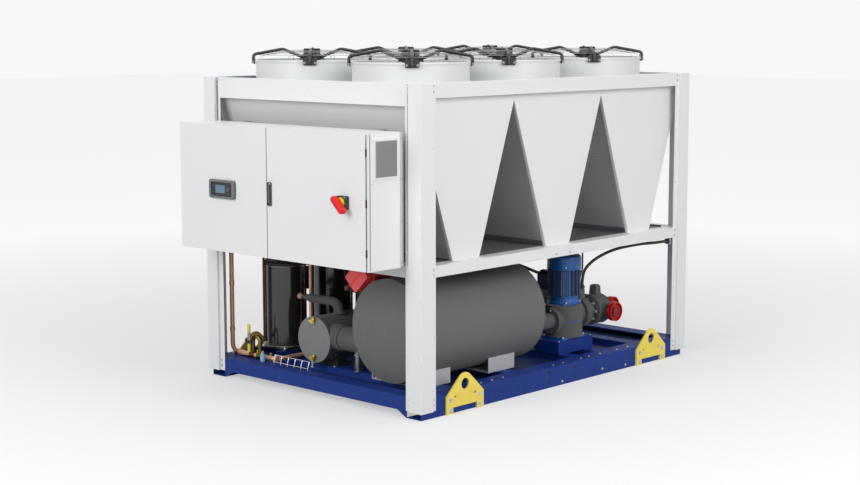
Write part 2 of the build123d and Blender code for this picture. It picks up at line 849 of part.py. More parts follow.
with BuildPart() as door_hinges:
    for z in hinge_heights:
        middle = cabinet_bottom + z
        with BuildSketch(Plane.XY.offset(middle - 1.5 * hinge_knuckle)):
            with Locations((hinge_x, hinge_y)):
                Circle(hinge_pin)
        extrude(amount=3 * hinge_knuckle)
        for low in (middle - 1.5 * hinge_knuckle, middle + 0.5 * hinge_knuckle):
            with BuildSketch(Plane.XY.offset(low)):
                with Locations((hinge_x, hinge_y)):
                    Circle(hinge_radius)
                wall = cabinet_right - cabinet_sheet
                with Locations(((hinge_x + wall) / 2, hinge_y)):
                    Rectangle(wall - hinge_x, 3)
            extrude(amount=hinge_knuckle)
save(door_hinges, "door_hinges")

with BuildPart() as mounting_plate:
    plate_back = y_front - cabinet_sheet - plate_standoff
    with BuildSketch(Plane.XZ.offset(-plate_back)):
        with Locations((cabinet_mid, cabinet_mid_z)):
            Rectangle(cabinet_width - 2 * plate_margin, cabinet_height - 2 * plate_margin)
    extrude(amount=plate_sheet)
    with BuildSketch(Plane.XZ.offset(-plate_back)):
        with Locations((cabinet_mid, cabinet_mid_z)):
            with GridLocations(cabinet_width - 4 * plate_margin, cabinet_height - 4 * plate_margin, 2, 2):
                Circle(8)
    extrude(amount=-plate_standoff)
    with BuildSketch(Plane.XZ.offset(plate_sheet - plate_back)):
        with Locations((cabinet_mid, cabinet_mid_z)):
            with GridLocations(0, (cabinet_height - 4 * plate_margin) / (rail_rows - 1), 1, rail_rows):
                Rectangle(cabinet_width - 4 * plate_margin, rail_width)
    extrude(amount=rail_depth)
save(mounting_plate, "mounting_plate")

with BuildPart() as controller:
    with BuildSketch(Plane.XZ.offset(-cabinet_front)):
        with Locations((controller_x, controller_z)):
            RectangleRounded(controller_width, controller_height, 16)
    extrude(amount=controller_depth)
    chamfer(controller.faces().sort_by(Axis.Y)[0].edges(), 5)
    with BuildSketch(Plane.XZ.offset(controller_depth - cabinet_front)):
        with Locations((screen_x, controller_z)):
            Rectangle(screen_width, screen_height)
    extrude(amount=-screen_recess, mode=Mode.SUBTRACT)
    with BuildSketch(Plane.XZ.offset(controller_depth - cabinet_front)):
        with Locations((knob_x, controller_z)):
            Circle(knob_radius)
    extrude(amount=knob_height)
save(controller, "controller")

# Swing handle: a dish on the door and a lever that tips out about its lower end
with BuildPart() as door_handle_plate:
    with BuildSketch(Plane.XZ.offset(-cabinet_front)):
        with Locations((latch_x, latch_z)):
            RectangleRounded(latch_width, latch_height, 10)
    extrude(amount=latch_depth)
    with BuildSketch(Plane.XZ.offset(latch_depth - cabinet_front)):
        with Locations((latch_x, latch_z)):
            RectangleRounded(latch_width - 2 * latch_wall, latch_height - 2 * latch_wall, 7)
    extrude(amount=-(latch_depth - latch_wall), mode=Mode.SUBTRACT)
save(door_handle_plate, "door_handle_plate")

lever_y = cabinet_front - latch_wall - lever_back_gap - lever_thickness / 2
lever_pivot = latch_z - lever_length / 2
with BuildPart() as door_lever:
    with BuildSketch(Plane.YZ.offset(latch_x - lever_width / 2)):
        with Locations((lever_y, latch_z)):
            SlotCenterToCenter(lever_length, lever_thickness, rotation=90)
    extrude(amount=lever_width)
    pin_reach = latch_width / 2 - latch_wall - seat
    with BuildSketch(Plane.YZ.offset(latch_x - pin_reach)):
        with Locations((lever_y, lever_pivot)):
            Circle(2.5)
    extrude(amount=2 * pin_reach)
save(door_lever, "door_lever")

# Rotary isolator: square base with a round disc, and a bar handle on a shaft
with BuildPart() as isolator_base:
    with BuildSketch(Plane.XZ.offset(-cabinet_front)):
        with Locations((isolator_x, isolator_z)):
            RectangleRounded(isolator_size, isolator_size, 8)
    extrude(amount=isolator_depth - isolator_disc_height)
    with BuildSketch(Plane.XZ.offset(isolator_depth - isolator_disc_height - cabinet_front)):
        with Locations((isolator_x, isolator_z)):
            Circle(isolator_disc_radius)
    extrude(amount=isolator_disc_height)
    with BuildSketch(Plane.XZ.offset(isolator_depth - cabinet_front)):
        with Locations((isolator_x, isolator_z)):
            Circle(isolator_shaft + isolator_fit)
    extrude(amount=-isolator_depth / 2, mode=Mode.SUBTRACT)
save(isolator_base, "isolator_base")

tilt = radians(handle_rest_angle)
bar_shift = handle_length / 2 - handle_offset
with BuildPart() as isolator_handle:
    with BuildSketch(Plane.XZ.offset(isolator_depth + isolator_gap - cabinet_front)):
        with Locations((isolator_x + bar_shift * sin(tilt), isolator_z - bar_shift * cos(tilt))):
            SlotOverall(handle_length, handle_width, rotation=handle_rest_angle - 90)
    extrude(amount=handle_depth)
    fillet(isolator_handle.faces().sort_by(Axis.Y)[0].edges(), 6)
    with BuildSketch(Plane.XZ.offset(isolator_depth + isolator_gap - cabinet_front)):
        with Locations((isolator_x, isolator_z)):
            Circle(isolator_shaft)
    extrude(amount=-isolator_depth / 2)
save(isolator_handle, "isolator_handle")

with BuildPart() as vent_grille:
    grille_y = (body_front + body_back) / 2
    with BuildSketch(Plane.YZ.offset(cabinet_right)):
        with Locations((grille_y, grille_z)):
            Rectangle(grille_plate_width, grille_plate_height)
            Rectangle(grille_width, grille_height, mode=Mode.SUBTRACT)
            with GridLocations(grille_width / grille_bars, 0, grille_bars, 1):
                Rectangle(grille_bar, grille_height)
    extrude(amount=grille_depth)
save(vent_grille, "vent_grille")

# Buffer tank: insulated cylinder with dished ends, on two saddles
dish_radius = (tank_radius ** 2 + tank_dish ** 2) / (2 * tank_dish)
with BuildPart() as buffer_tank:
    with BuildSketch(Plane.YZ.offset(tank_x)):
        with BuildLine():
            Polyline((tank_start - tank_dish, tank_z), (tank_end + tank_dish, tank_z))
            ThreePointArc((tank_end + tank_dish, tank_z),
                          (tank_end + tank_dish - dish_radius + dish_radius * cos(radians(9)),
                           tank_z + dish_radius * sin(radians(9))),
                          (tank_end, tank_z + tank_radius))
            Line((tank_end, tank_z + tank_radius), (tank_start, tank_z + tank_radius))
            ThreePointArc((tank_start, tank_z + tank_radius),
                          (tank_start - tank_dish + dish_radius - dish_radius * cos(radians(9)),
                           tank_z + dish_radius * sin(radians(9))),
                          (tank_start - tank_dish, tank_z))
        make_face()
    revolve(axis=Axis((tank_x, 0, tank_z), (0, 1, 0)))
    with BuildSketch(Plane.XZ.offset(-tank_end)):
        with Locations((pump_x, inlet_z)):
            Circle(inlet_pipe + 14)
    extrude(amount=-(tank_dish + inlet_boss))
save(buffer_tank, "buffer_tank")

with BuildPart() as tank_saddles:
    for y in saddle_y:
        with BuildSketch(Plane.XZ.offset(saddle_length / 2 - y)):
            with Locations((tank_x, base_height)):
                Rectangle(saddle_width, tank_z - base_height, align=(Align.CENTER, Align.MIN))
            with Locations((tank_x, tank_z)):
                Circle(tank_radius + seat, mode=Mode.SUBTRACT)
            with Locations((tank_x, base_height + saddle_sheet)):
                Rectangle(saddle_width - 2 * saddle_sheet, tank_z, align=(Align.CENTER, Align.MIN),
                          mode=Mode.SUBTRACT)
        extrude(amount=-saddle_length)
save(tank_saddles, "tank_saddles")

# Flat expansion vessel, leaning at 45 degrees on the tank's shoulder
vessel_start = tank_start - 10
vessel_plane = Plane(origin=(tank_x, vessel_start, tank_z), x_dir=(1, 0, 1), z_dir=(0, 1, 0))
vessel_low = tank_radius + vessel_gap
with BuildPart() as expansion_vessel:
    with BuildSketch(vessel_plane):
        with Locations((vessel_shift, -vessel_low - vessel_thickness / 2)):
            Rectangle(vessel_width, vessel_thickness)
    extrude(amount=vessel_length)
    fillet(expansion_vessel.edges().filter_by(Axis.Y), 18)
    with BuildSketch(vessel_plane.offset(-vessel_rim)):
        with Locations((vessel_shift, -vessel_low - vessel_thickness / 2)):
            Rectangle(vessel_width + 2 * vessel_rim, vessel_rim_height)
    extrude(amount=vessel_length + 2 * vessel_rim)
    for share in (0.2, 0.8):
        with BuildSketch(vessel_plane.offset(share * vessel_length - vessel_strap / 2)):
            with Locations((vessel_shift, -tank_radius)):
                Rectangle(0.6 * vessel_width, 2 * vessel_gap + 2)
            Circle(tank_radius + seat, mode=Mode.SUBTRACT)
        extrude(amount=vessel_strap)
save(expansion_vessel, "expansion_vessel")

# Evaporator: long insulated shell with flat end discs, a side nozzle and brass valves
with BuildPart() as evaporator:
    with BuildSketch(Plane.XZ.offset(-evaporator_start)):
        with Locations((evaporator_x, evaporator_z)):
            Circle(evaporator_radius)
    extrude(amount=-evaporator_length)
    for y in (evaporator_start, evaporator_end - evaporator_flange_depth):
        with BuildSketch(Plane.XZ.offset(-y)):
            with Locations((evaporator_x, evaporator_z)):
                Circle(evaporator_flange)
        extrude(amount=-evaporator_flange_depth)
    with BuildSketch(Plane.YZ.offset(evaporator_x)):
        with Locations((y_front + nozzle_y, nozzle_z)):
            Circle(nozzle_radius)
    extrude(amount=nozzle_reach)
save(evaporator, "evaporator")

with BuildPart() as drain_valves:
    for side in (-1, 1):
        z = evaporator_z + side * drain_valve_height
        with BuildSketch(Plane.XZ.offset(-evaporator_start)):
            with Locations((evaporator_x, z)):
                Circle(drain_valve_radius)
        extrude(amount=drain_valve_length)
        with BuildSketch(Plane.XY.offset(z - 1.4 * drain_valve_radius)):
            with Locations((evaporator_x, evaporator_start - 0.55 * drain_valve_length)):
                RegularPolygon(1.3 * drain_valve_radius, 6)
        extrude(amount=2.8 * drain_valve_radius)
save(drain_valves, "drain_valves")

with BuildPart() as evaporator_feet:
    for share in (0.07, 0.84):
        y = evaporator_start + share * evaporator_length
        with BuildSketch(Plane.XZ.offset(foot_length / 2 - y)):
            with Locations((evaporator_x, base_height)):
                Rectangle(foot_width, evaporator_z - base_height, align=(Align.CENTER, Align.MIN))
            with Locations((evaporator_x, evaporator_z)):
                Circle(evaporator_radius + seat, mode=Mode.SUBTRACT)
            with Locations((evaporator_x, evaporator_z - 60)):
                Rectangle(2 * foot_width, 2 * foot_width, align=(Align.CENTER, Align.MIN),
                          mode=Mode.SUBTRACT)
        extrude(amount=-foot_length)
save(evaporator_feet, "evaporator_feet")

# Compressors in a row on two rails
compressor_y = [y_front + compressor_front + compressor_pitch * i for i in range(compressor_count)]
rail_start = compressor_y[0] - compressor_plate / 2 - 40
rail_end = compressor_y[-1] + compressor_plate / 2 + 40
with BuildPart() as compressor_rails:
    for x in (compressor_x - rail_spacing / 2, compressor_x + rail_spacing / 2):
        with BuildSketch(Plane.XZ.offset(-rail_start)):
            with Locations((x, base_height)):
                Rectangle(rail_section, rail_height, align=(Align.CENTER, Align.MIN))
                Rectangle(rail_section - 2 * beam_sheet, rail_height - beam_sheet,
                          align=(Align.CENTER, Align.MIN), mode=Mode.SUBTRACT)
        extrude(amount=-(rail_end - rail_start))
save(compressor_rails, "compressor_rails")

plate_bottom = base_height + rail_height
shell_bottom = plate_bottom + compressor_plate_sheet + compressor_skirt
shell_top = shell_bottom + compressor_shell
crown = (compressor_radius ** 2 + compressor_dome ** 2) / (2 * compressor_dome)
with BuildPart() as one_compressor:
    with BuildSketch(Plane.XZ):
        with BuildLine():
            Polyline((0, plate_bottom + compressor_plate_sheet),
                     (compressor_radius - 30, plate_bottom + compressor_plate_sheet),
                     (compressor_radius - 30, shell_bottom),
                     (compressor_radius + compressor_rim, shell_bottom),
                     (compressor_radius + compressor_rim, shell_bottom + compressor_rim_height),
                     (compressor_radius, shell_bottom + compressor_rim_height),
                     (compressor_radius, shell_top))
            ThreePointArc((compressor_radius, shell_top),
                          (crown * sin(radians(12)),
                           shell_top + compressor_dome - crown * (1 - cos(radians(12)))),
                          (0, shell_top + compressor_dome))
            Line((0, shell_top + compressor_dome), (0, plate_bottom + compressor_plate_sheet))
        make_face()
    revolve(axis=Axis.Z)
    with BuildSketch(Plane.XY.offset(plate_bottom)):
        RectangleRounded(compressor_plate, compressor_plate, 40)
    extrude(amount=compressor_plate_sheet)
    compressor = one_compressor.part
with BuildPart() as compressors:
    for y in compressor_y:
        add(compressor.moved(Location((compressor_x, y, 0))))
save(compressors, "compressors")

# Insulated suction elbows from the evaporator's top to each compressor's side
collar_end = compressor_x + compressor_radius + suction_collar_length
with BuildPart() as suction_pipes:
    for y in compressor_y:
        add(pipe([(collar_end, y, suction_z), (evaporator_x, y, suction_z),
                  (evaporator_x, y, evaporator_z)], suction_radius, suction_bend))
        with BuildSketch(Plane.YZ.offset(collar_end)):
            with Locations((y, suction_z)):
                Circle(suction_collar)
        extrude(amount=-(suction_collar_length - seat))
    with BuildSketch(Plane.XZ.offset(-evaporator_start)):
        with Locations((evaporator_x, evaporator_z)):
            Circle(evaporator_radius + seat)
    extrude(amount=-evaporator_length, mode=Mode.SUBTRACT)
save(suction_pipes, "suction_pipes")

# Copper: discharge risers beside the compressors and the liquid line along the front
liquid_front = y_front + liquid_y
liquid_back = y_front + liquid_turn_y
shell_edge = compressor_x + compressor_radius
evaporator_side = evaporator_x - evaporator_radius - seat
liquid_turn_x = shell_edge + liquid_turn_share * (evaporator_side - shell_edge)
with BuildPart() as copper_pipes:
    for y in compressor_y:
        wall = compressor_x - compressor_radius - seat
        add(pipe([(wall, y, riser_left_z), (riser_left_x, y, riser_left_z),
                  (riser_left_x, y, mid_bottom - seat)], riser_radius, riser_bend))
    for y in compressor_y[::2]:
        add(pipe([(compressor_x + riser_right_shift, y + riser_right_shift, riser_right_z),
                  (riser_right_x, y + riser_right_shift, riser_right_z),
                  (riser_right_x, y + riser_right_shift, mid_top + module_sheet - seat)],
                 riser_radius, riser_bend))
    add(pipe([(liquid_x, liquid_front, mid_bottom - seat), (liquid_x, liquid_front, liquid_z),
              (liquid_turn_x, liquid_front, liquid_z), (liquid_turn_x, liquid_back, liquid_z),
              (liquid_turn_x, liquid_back, evaporator_z),
              (evaporator_side, liquid_back, evaporator_z)], copper_radius, copper_bend))
    with BuildSketch(Plane.XY.offset(shell_bottom + compressor_rim_height)):
        with Locations(*[(compressor_x, y) for y in compressor_y]):
            Circle(compressor_radius + seat)
    extrude(amount=compressor_shell, mode=Mode.SUBTRACT)
save(copper_pipes, "copper_pipes")

# Service valve: two tees on the liquid line, a lever valve and a half-round bend between them
with BuildPart() as service_valve:
    for x in (valve_x, valve_x + 2 * valve_arch):
        with BuildSketch(Plane.YZ.offset(x - valve_tee_length / 2)):
            with Locations((liquid_front, liquid_z)):
                Circle(valve_tee_radius)
        extrude(amount=valve_tee_length)
        with BuildSketch(Plane.XY.offset(liquid_z)):
            with Locations((x, liquid_front)):
                Circle(valve_arch_radius)
        extrude(amount=valve_body_z - liquid_z)
    with BuildSketch(Plane.XY.offset(valve_body_z)):
        with Locations((valve_x, liquid_front)):
            Circle(valve_arch_radius)
    revolve(axis=Axis((valve_x + valve_arch, liquid_front, valve_body_z), (0, 1, 0)),
            revolution_arc=180)
    with BuildSketch(Plane.YZ.offset(valve_x - valve_body_length)):
        with Locations((liquid_front, valve_body_z)):
            RegularPolygon(valve_body_radius, 6)
    extrude(amount=valve_body_length)
    with BuildSketch(Plane.XZ.offset(valve_stem * 2 + valve_arch_radius - liquid_front)):
        with Locations((valve_x, (valve_lever_top + liquid_z + 30) / 2)):
            RectangleRounded(valve_lever_width, valve_lever_top - liquid_z - 30, 6)
    extrude(amount=-valve_lever_sheet)
    with BuildSketch(Plane.XZ.offset(valve_stem * 2 + valve_arch_radius - liquid_front)):
        with Locations((valve_x, valve_body_z)):
            Circle(valve_stem)
    extrude(amount=-(valve_stem * 2 + valve_arch_radius))
    with BuildSketch(Plane.YZ.offset(valve_x - valve_arch)):
        with Locations((liquid_front, liquid_z)):
            Circle(copper_radius + seat)
    extrude(amount=4 * valve_arch, mode=Mode.SUBTRACT)
save(service_valve, "service_valve")

with BuildPart() as filter_drier:
    with BuildSketch(Plane.XZ):
        with BuildLine():
            Polyline((0, 0), (drier_radius - 4, 0), (drier_radius, 8), (drier_radius, drier_height - 12),
                     (drier_neck, drier_height), (drier_neck, drier_height + 12),
                     (0, drier_height + 12), close=True)
        make_face()
    revolve(axis=Axis.Z)
    drier = filter_drier.part
with BuildPart() as filter_drier:
    add(drier.moved(Location((drier_x, y_front + drier_y, base_height))))
save(filter_drier, "filter_drier")

with BuildPart() as side_post:
    for z, amount in ((base_height, 6), (mid_bottom, -6)):
        with BuildSketch(Plane.XY.offset(z)):
            with Locations((-beam_x + base_flange / 2 - 10, y_front + side_post_y)):
                Rectangle(side_post_foot, side_post_foot)
        extrude(amount=amount)
    with BuildSketch(Plane.XY.offset(base_height)):
        with Locations((-beam_x + base_flange / 2 - 10, y_front + side_post_y)):
            Circle(side_post_radius)
    extrude(amount=mid_bottom - base_height)
save(side_post, "side_post")

# Vertical in-line pump on its plinth
with BuildPart() as pump_plinth:
    with BuildSketch(Plane.XY.offset(base_height)):
        with Locations((pump_x, plinth_y)):
            Rectangle(plinth_width, plinth_length)
    extrude(amount=plinth_height)
save(pump_plinth, "pump_plinth")

foot_z = base_height + plinth_height
volute_bottom = foot_z + pump_foot
motor_flange_z = volute_bottom + volute_height
with BuildPart() as pump_body:
    with BuildSketch(Plane.XY.offset(foot_z)):
        with Locations((pump_x, plinth_y)):
            RectangleRounded(plinth_width - 2 * pump_foot_margin, 2 * volute_radius, 20)
    extrude(amount=pump_foot)
    with BuildSketch(Plane.XY.offset(volute_bottom)):
        with Locations((pump_x, plinth_y)):
            Circle(volute_radius)
    extrude(amount=volute_height)
    fillet(pump_body.faces().filter_by(GeomType.PLANE).sort_by(Axis.Z)[-1].edges(), 16)
    with BuildSketch(Plane.XZ.offset(volute_radius + inlet_boss - plinth_y)):
        with Locations((pump_x, inlet_z)):
            Circle(inlet_radius)
    extrude(amount=-(volute_radius + inlet_boss))
    with BuildSketch(Plane.XZ.offset(-plinth_y)):
        with Locations((pump_x, water_z)):
            Circle(outlet_boss_radius)
    extrude(amount=-(volute_radius + outlet_boss))
save(pump_body, "pump_body")

cover_z = motor_flange_z + motor_flange_height + pump_motor_height
with BuildPart() as pump_motor:
    with BuildSketch(Plane.XY.offset(motor_flange_z + seat)):
        with Locations((pump_x, plinth_y)):
            Circle(motor_flange_radius)
    extrude(amount=motor_flange_height)
    with BuildSketch(Plane.XY.offset(motor_flange_z + motor_flange_height)):
        with Locations((pump_x, plinth_y)):
            Circle(pump_motor_radius)
            with PolarLocations(pump_motor_radius, pump_motor_fins):
                Rectangle(2 * pump_motor_fin, 6)
    extrude(amount=pump_motor_height)
    with BuildSketch(Plane.XY.offset(cover_z)):
        with Locations((pump_x, plinth_y)):
            Circle(fan_cover_radius)
    extrude(amount=fan_cover_height)
    chamfer(pump_motor.faces().sort_by(Axis.Z)[-1].edges(), 12)
    with BuildSketch(Plane.XY.offset(motor_flange_z + terminal_rise)):
        with Locations((pump_x - pump_motor_radius - terminal_width / 2, plinth_y)):
            Rectangle(terminal_width + 24, terminal_length)
    extrude(amount=terminal_height)
save(pump_motor, "pump_motor")

# Insulated water pipes: evaporator to tank, tank to pump, pump outlet with its branch, return
branch_y = outlet_start + outlet_first + outlet_gap + outlet_last / 2
with BuildPart() as water_pipes:
    with BuildSketch(Plane.YZ.offset(evaporator_x + nozzle_reach + seat)):
        with Locations((y_front + nozzle_y, nozzle_z)):
            Circle(link_radius)
    extrude(amount=tank_x - evaporator_x - nozzle_reach)
    with BuildSketch(Plane.XZ.offset(-tank_start)):
        with Locations((tank_x, tank_z)):
            Circle(tank_radius + seat)
    extrude(amount=-tank_length, mode=Mode.SUBTRACT)
    with BuildSketch(Plane.XZ.offset(-(tank_end + tank_dish + inlet_boss + seat))):
        with Locations((pump_x, inlet_z)):
            Circle(inlet_pipe)
    extrude(amount=-(plinth_y - volute_radius - tank_end - tank_dish - 2 * inlet_boss - 2 * seat))
    with BuildSketch(Plane.YZ.offset(pump_x)):
        with BuildLine():
            Polyline((outlet_start, water_z), (outlet_start, water_z + outlet_radius),
                     (outlet_start + outlet_first, water_z + outlet_radius),
                     (outlet_start + outlet_first, water_z + outlet_neck_radius),
                     (outlet_start + outlet_first + outlet_gap, water_z + outlet_neck_radius),
                     (outlet_start + outlet_first + outlet_gap, water_z + outlet_radius),
                     (outlet_start + outlet_length - outlet_round, water_z + outlet_radius),
                     (outlet_start + outlet_length, water_z + outlet_radius - outlet_round),
                     (outlet_start + outlet_length, water_z), close=True)
        make_face()
    revolve(axis=Axis((pump_x, 0, water_z), (0, 1, 0)))
    with BuildSketch(Plane.YZ.offset(pump_x)):
        with Locations((branch_y, water_z)):
            Circle(branch_radius)
    extrude(amount=branch_reach)
    add(pipe([(pump_x, return_line, water_z), (evaporator_x, return_line, water_z),
              (evaporator_x, evaporator_end + seat, water_z)], return_radius, return_bend))
save(water_pipes, "water_pipes")

# Outlet valve: flange pairs round the bare pipe, and stems that rise through the insulation
with BuildPart() as pipe_flanges:
    for y in (outlet_start + outlet_first + seat,
              outlet_start + outlet_first + outlet_gap - flange_sheet - seat):
        with BuildSketch(Plane.XZ.offset(-y)):
            with Locations((pump_x, water_z)):
                Circle(flange_radius)
                Circle(outlet_neck_radius + seat, mode=Mode.SUBTRACT)
        extrude(amount=-flange_sheet)
    bolt_circle = (flange_radius + outlet_neck_radius) / 2
    with BuildSketch(Plane.XZ.offset(-(outlet_start + outlet_first + seat))):
        with Locations((pump_x, water_z)):
            with PolarLocations(bolt_circle, flange_bolts):
                Circle(flange_bolt)
    extrude(amount=-(outlet_gap - 2 * seat))
save(pipe_flanges, "pipe_flanges")

with BuildPart() as valve_necks:
    for y in (outlet_start + outlet_first / 2, branch_y):
        with BuildSketch(Plane.XY.offset(water_z + outlet_radius - neck_sink)):
            with Locations((pump_x, y)):
                Rectangle(neck_width, neck_length)
        extrude(amount=neck_top + neck_sink - water_z - outlet_radius, taper=3)
    fillet(valve_necks.edges().filter_by(lambda e: e.center().Z > neck_top - 1), 18)
    with BuildSketch(Plane.XZ.offset(-outlet_start)):
        with Locations((pump_x, water_z)):
            Circle(outlet_radius + seat)
    extrude(amount=-outlet_length, mode=Mode.SUBTRACT)
save(valve_necks, "valve_necks")

with BuildPart() as one_cap:
    with BuildSketch(Plane.YZ):
        Circle(cap_radius)
    extrude(amount=cap_depth)
    with BuildSketch(Plane.YZ.offset(cap_depth)):
        Circle(cap_radius - cap_wall)
    extrude(amount=-(cap_depth - cap_floor), mode=Mode.SUBTRACT)
    cap = one_cap.part
with BuildPart() as pipe_caps:
    add(cap.moved(Location((pump_x + branch_reach + seat, branch_y, water_z))))
    add(cap.moved(Location((pump_x + seat, return_line, water_z))))
save(pipe_caps, "pipe_caps")
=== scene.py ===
"""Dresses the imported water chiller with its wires, bolts, pipes, switchgear and finishes."""

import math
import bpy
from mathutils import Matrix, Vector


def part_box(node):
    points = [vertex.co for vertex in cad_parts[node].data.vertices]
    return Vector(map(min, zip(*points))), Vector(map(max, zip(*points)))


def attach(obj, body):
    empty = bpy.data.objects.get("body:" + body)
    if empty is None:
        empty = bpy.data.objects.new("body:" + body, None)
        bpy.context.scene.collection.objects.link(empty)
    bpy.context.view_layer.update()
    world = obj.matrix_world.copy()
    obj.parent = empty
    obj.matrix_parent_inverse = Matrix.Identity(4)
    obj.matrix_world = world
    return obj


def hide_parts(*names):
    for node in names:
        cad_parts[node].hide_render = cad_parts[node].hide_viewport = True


bl_info = {
    "name": "Water chiller dressing",
    "version": (1, 0, 0),
    "blender": (4, 5, 0),
    "location": "View3D > Sidebar > Chiller",
    "description": "Builds the small parts, finishes and studio of an air-cooled water chiller",
    "category": "Object",
}

import bmesh
import bpy
from mathutils import Matrix, Vector

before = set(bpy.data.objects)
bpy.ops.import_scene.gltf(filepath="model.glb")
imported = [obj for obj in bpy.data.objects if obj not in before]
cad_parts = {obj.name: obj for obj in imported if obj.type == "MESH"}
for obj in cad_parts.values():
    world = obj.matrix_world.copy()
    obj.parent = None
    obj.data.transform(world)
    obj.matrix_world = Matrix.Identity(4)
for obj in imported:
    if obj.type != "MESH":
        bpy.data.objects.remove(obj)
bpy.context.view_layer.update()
MIDDLE_Y = sum(corner.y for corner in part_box("corner_posts")) / 2
BODY = "frame"
FAN_X = 0.515
FAN_PITCH = 1.023
FANS = [Vector((x, MIDDLE_Y + FAN_PITCH * i, 0)) for x in (-FAN_X, FAN_X) for i in (-1, 0, 1)]
DIAGONALS = [math.radians(45 + 90 * k) for k in range(4)]

# Places in millimetres, measured from the middle of the frame's plan
MODULE_ROWS = (-1023, 0, 1023)
COMPRESSOR_X = -790
COMPRESSOR_ROWS = (-1074, -574, -74, 426)
COPPER_Y = -1400
EVAPORATOR_X, EVAPORATOR_Z = -213, 358
TANK_X, TANK_Z = 640, 540
PUMP_X, PUMP_Y = 737, 473
WATER_Z = 422

X, Y, Z = Vector((1, 0, 0)), Vector((0, 1, 0)), Vector((0, 0, 1))


def at(x, y, z):
    """A point from millimetres, measured from the middle of the frame's plan."""
    return Vector((x / 1000, y / 1000 + MIDDLE_Y, z / 1000))


# Mesh tools
def aimed(centre, axis):
    """Moves to a centre and turns Z along an axis."""
    return Matrix.Translation(centre) @ axis.to_track_quat("Z", "Y").to_matrix().to_4x4()


def spun(centre, turn):
    """Moves to a centre and turns about Z."""
    return Matrix.Translation(centre) @ Matrix.Rotation(turn, 4, "Z")


def heading(turn):
    """The level direction at an angle from X."""
    return Vector((math.cos(turn), math.sin(turn), 0))


def skin(rings, around, closed=True):
    """Faces between a row of rings of points, and over both ends if closed."""
    faces = []
    for low in range(0, (rings - 1) * around, around):
        for i in range(around):
            j = (i + 1) % around
            faces.append((low + i, low + j, low + around + j, low + around + i))
    if closed:
        faces.append(tuple(reversed(range(around))))
        faces.append(tuple(range((rings - 1) * around, rings * around)))
    return faces


def placed(name, data):
    """A new object in the scene."""
    thing = bpy.data.objects.new(name, data)
    bpy.context.scene.collection.objects.link(thing)
    return thing


def round_edges(piece, width, angle):
    """Rounds the edges that are sharper than an angle."""
    rounding = piece.modifiers.new("edge rounding", "BEVEL")
    rounding.width = width
    rounding.segments = 2
    rounding.angle_limit = math.radians(angle)
    rounding.harden_normals = True


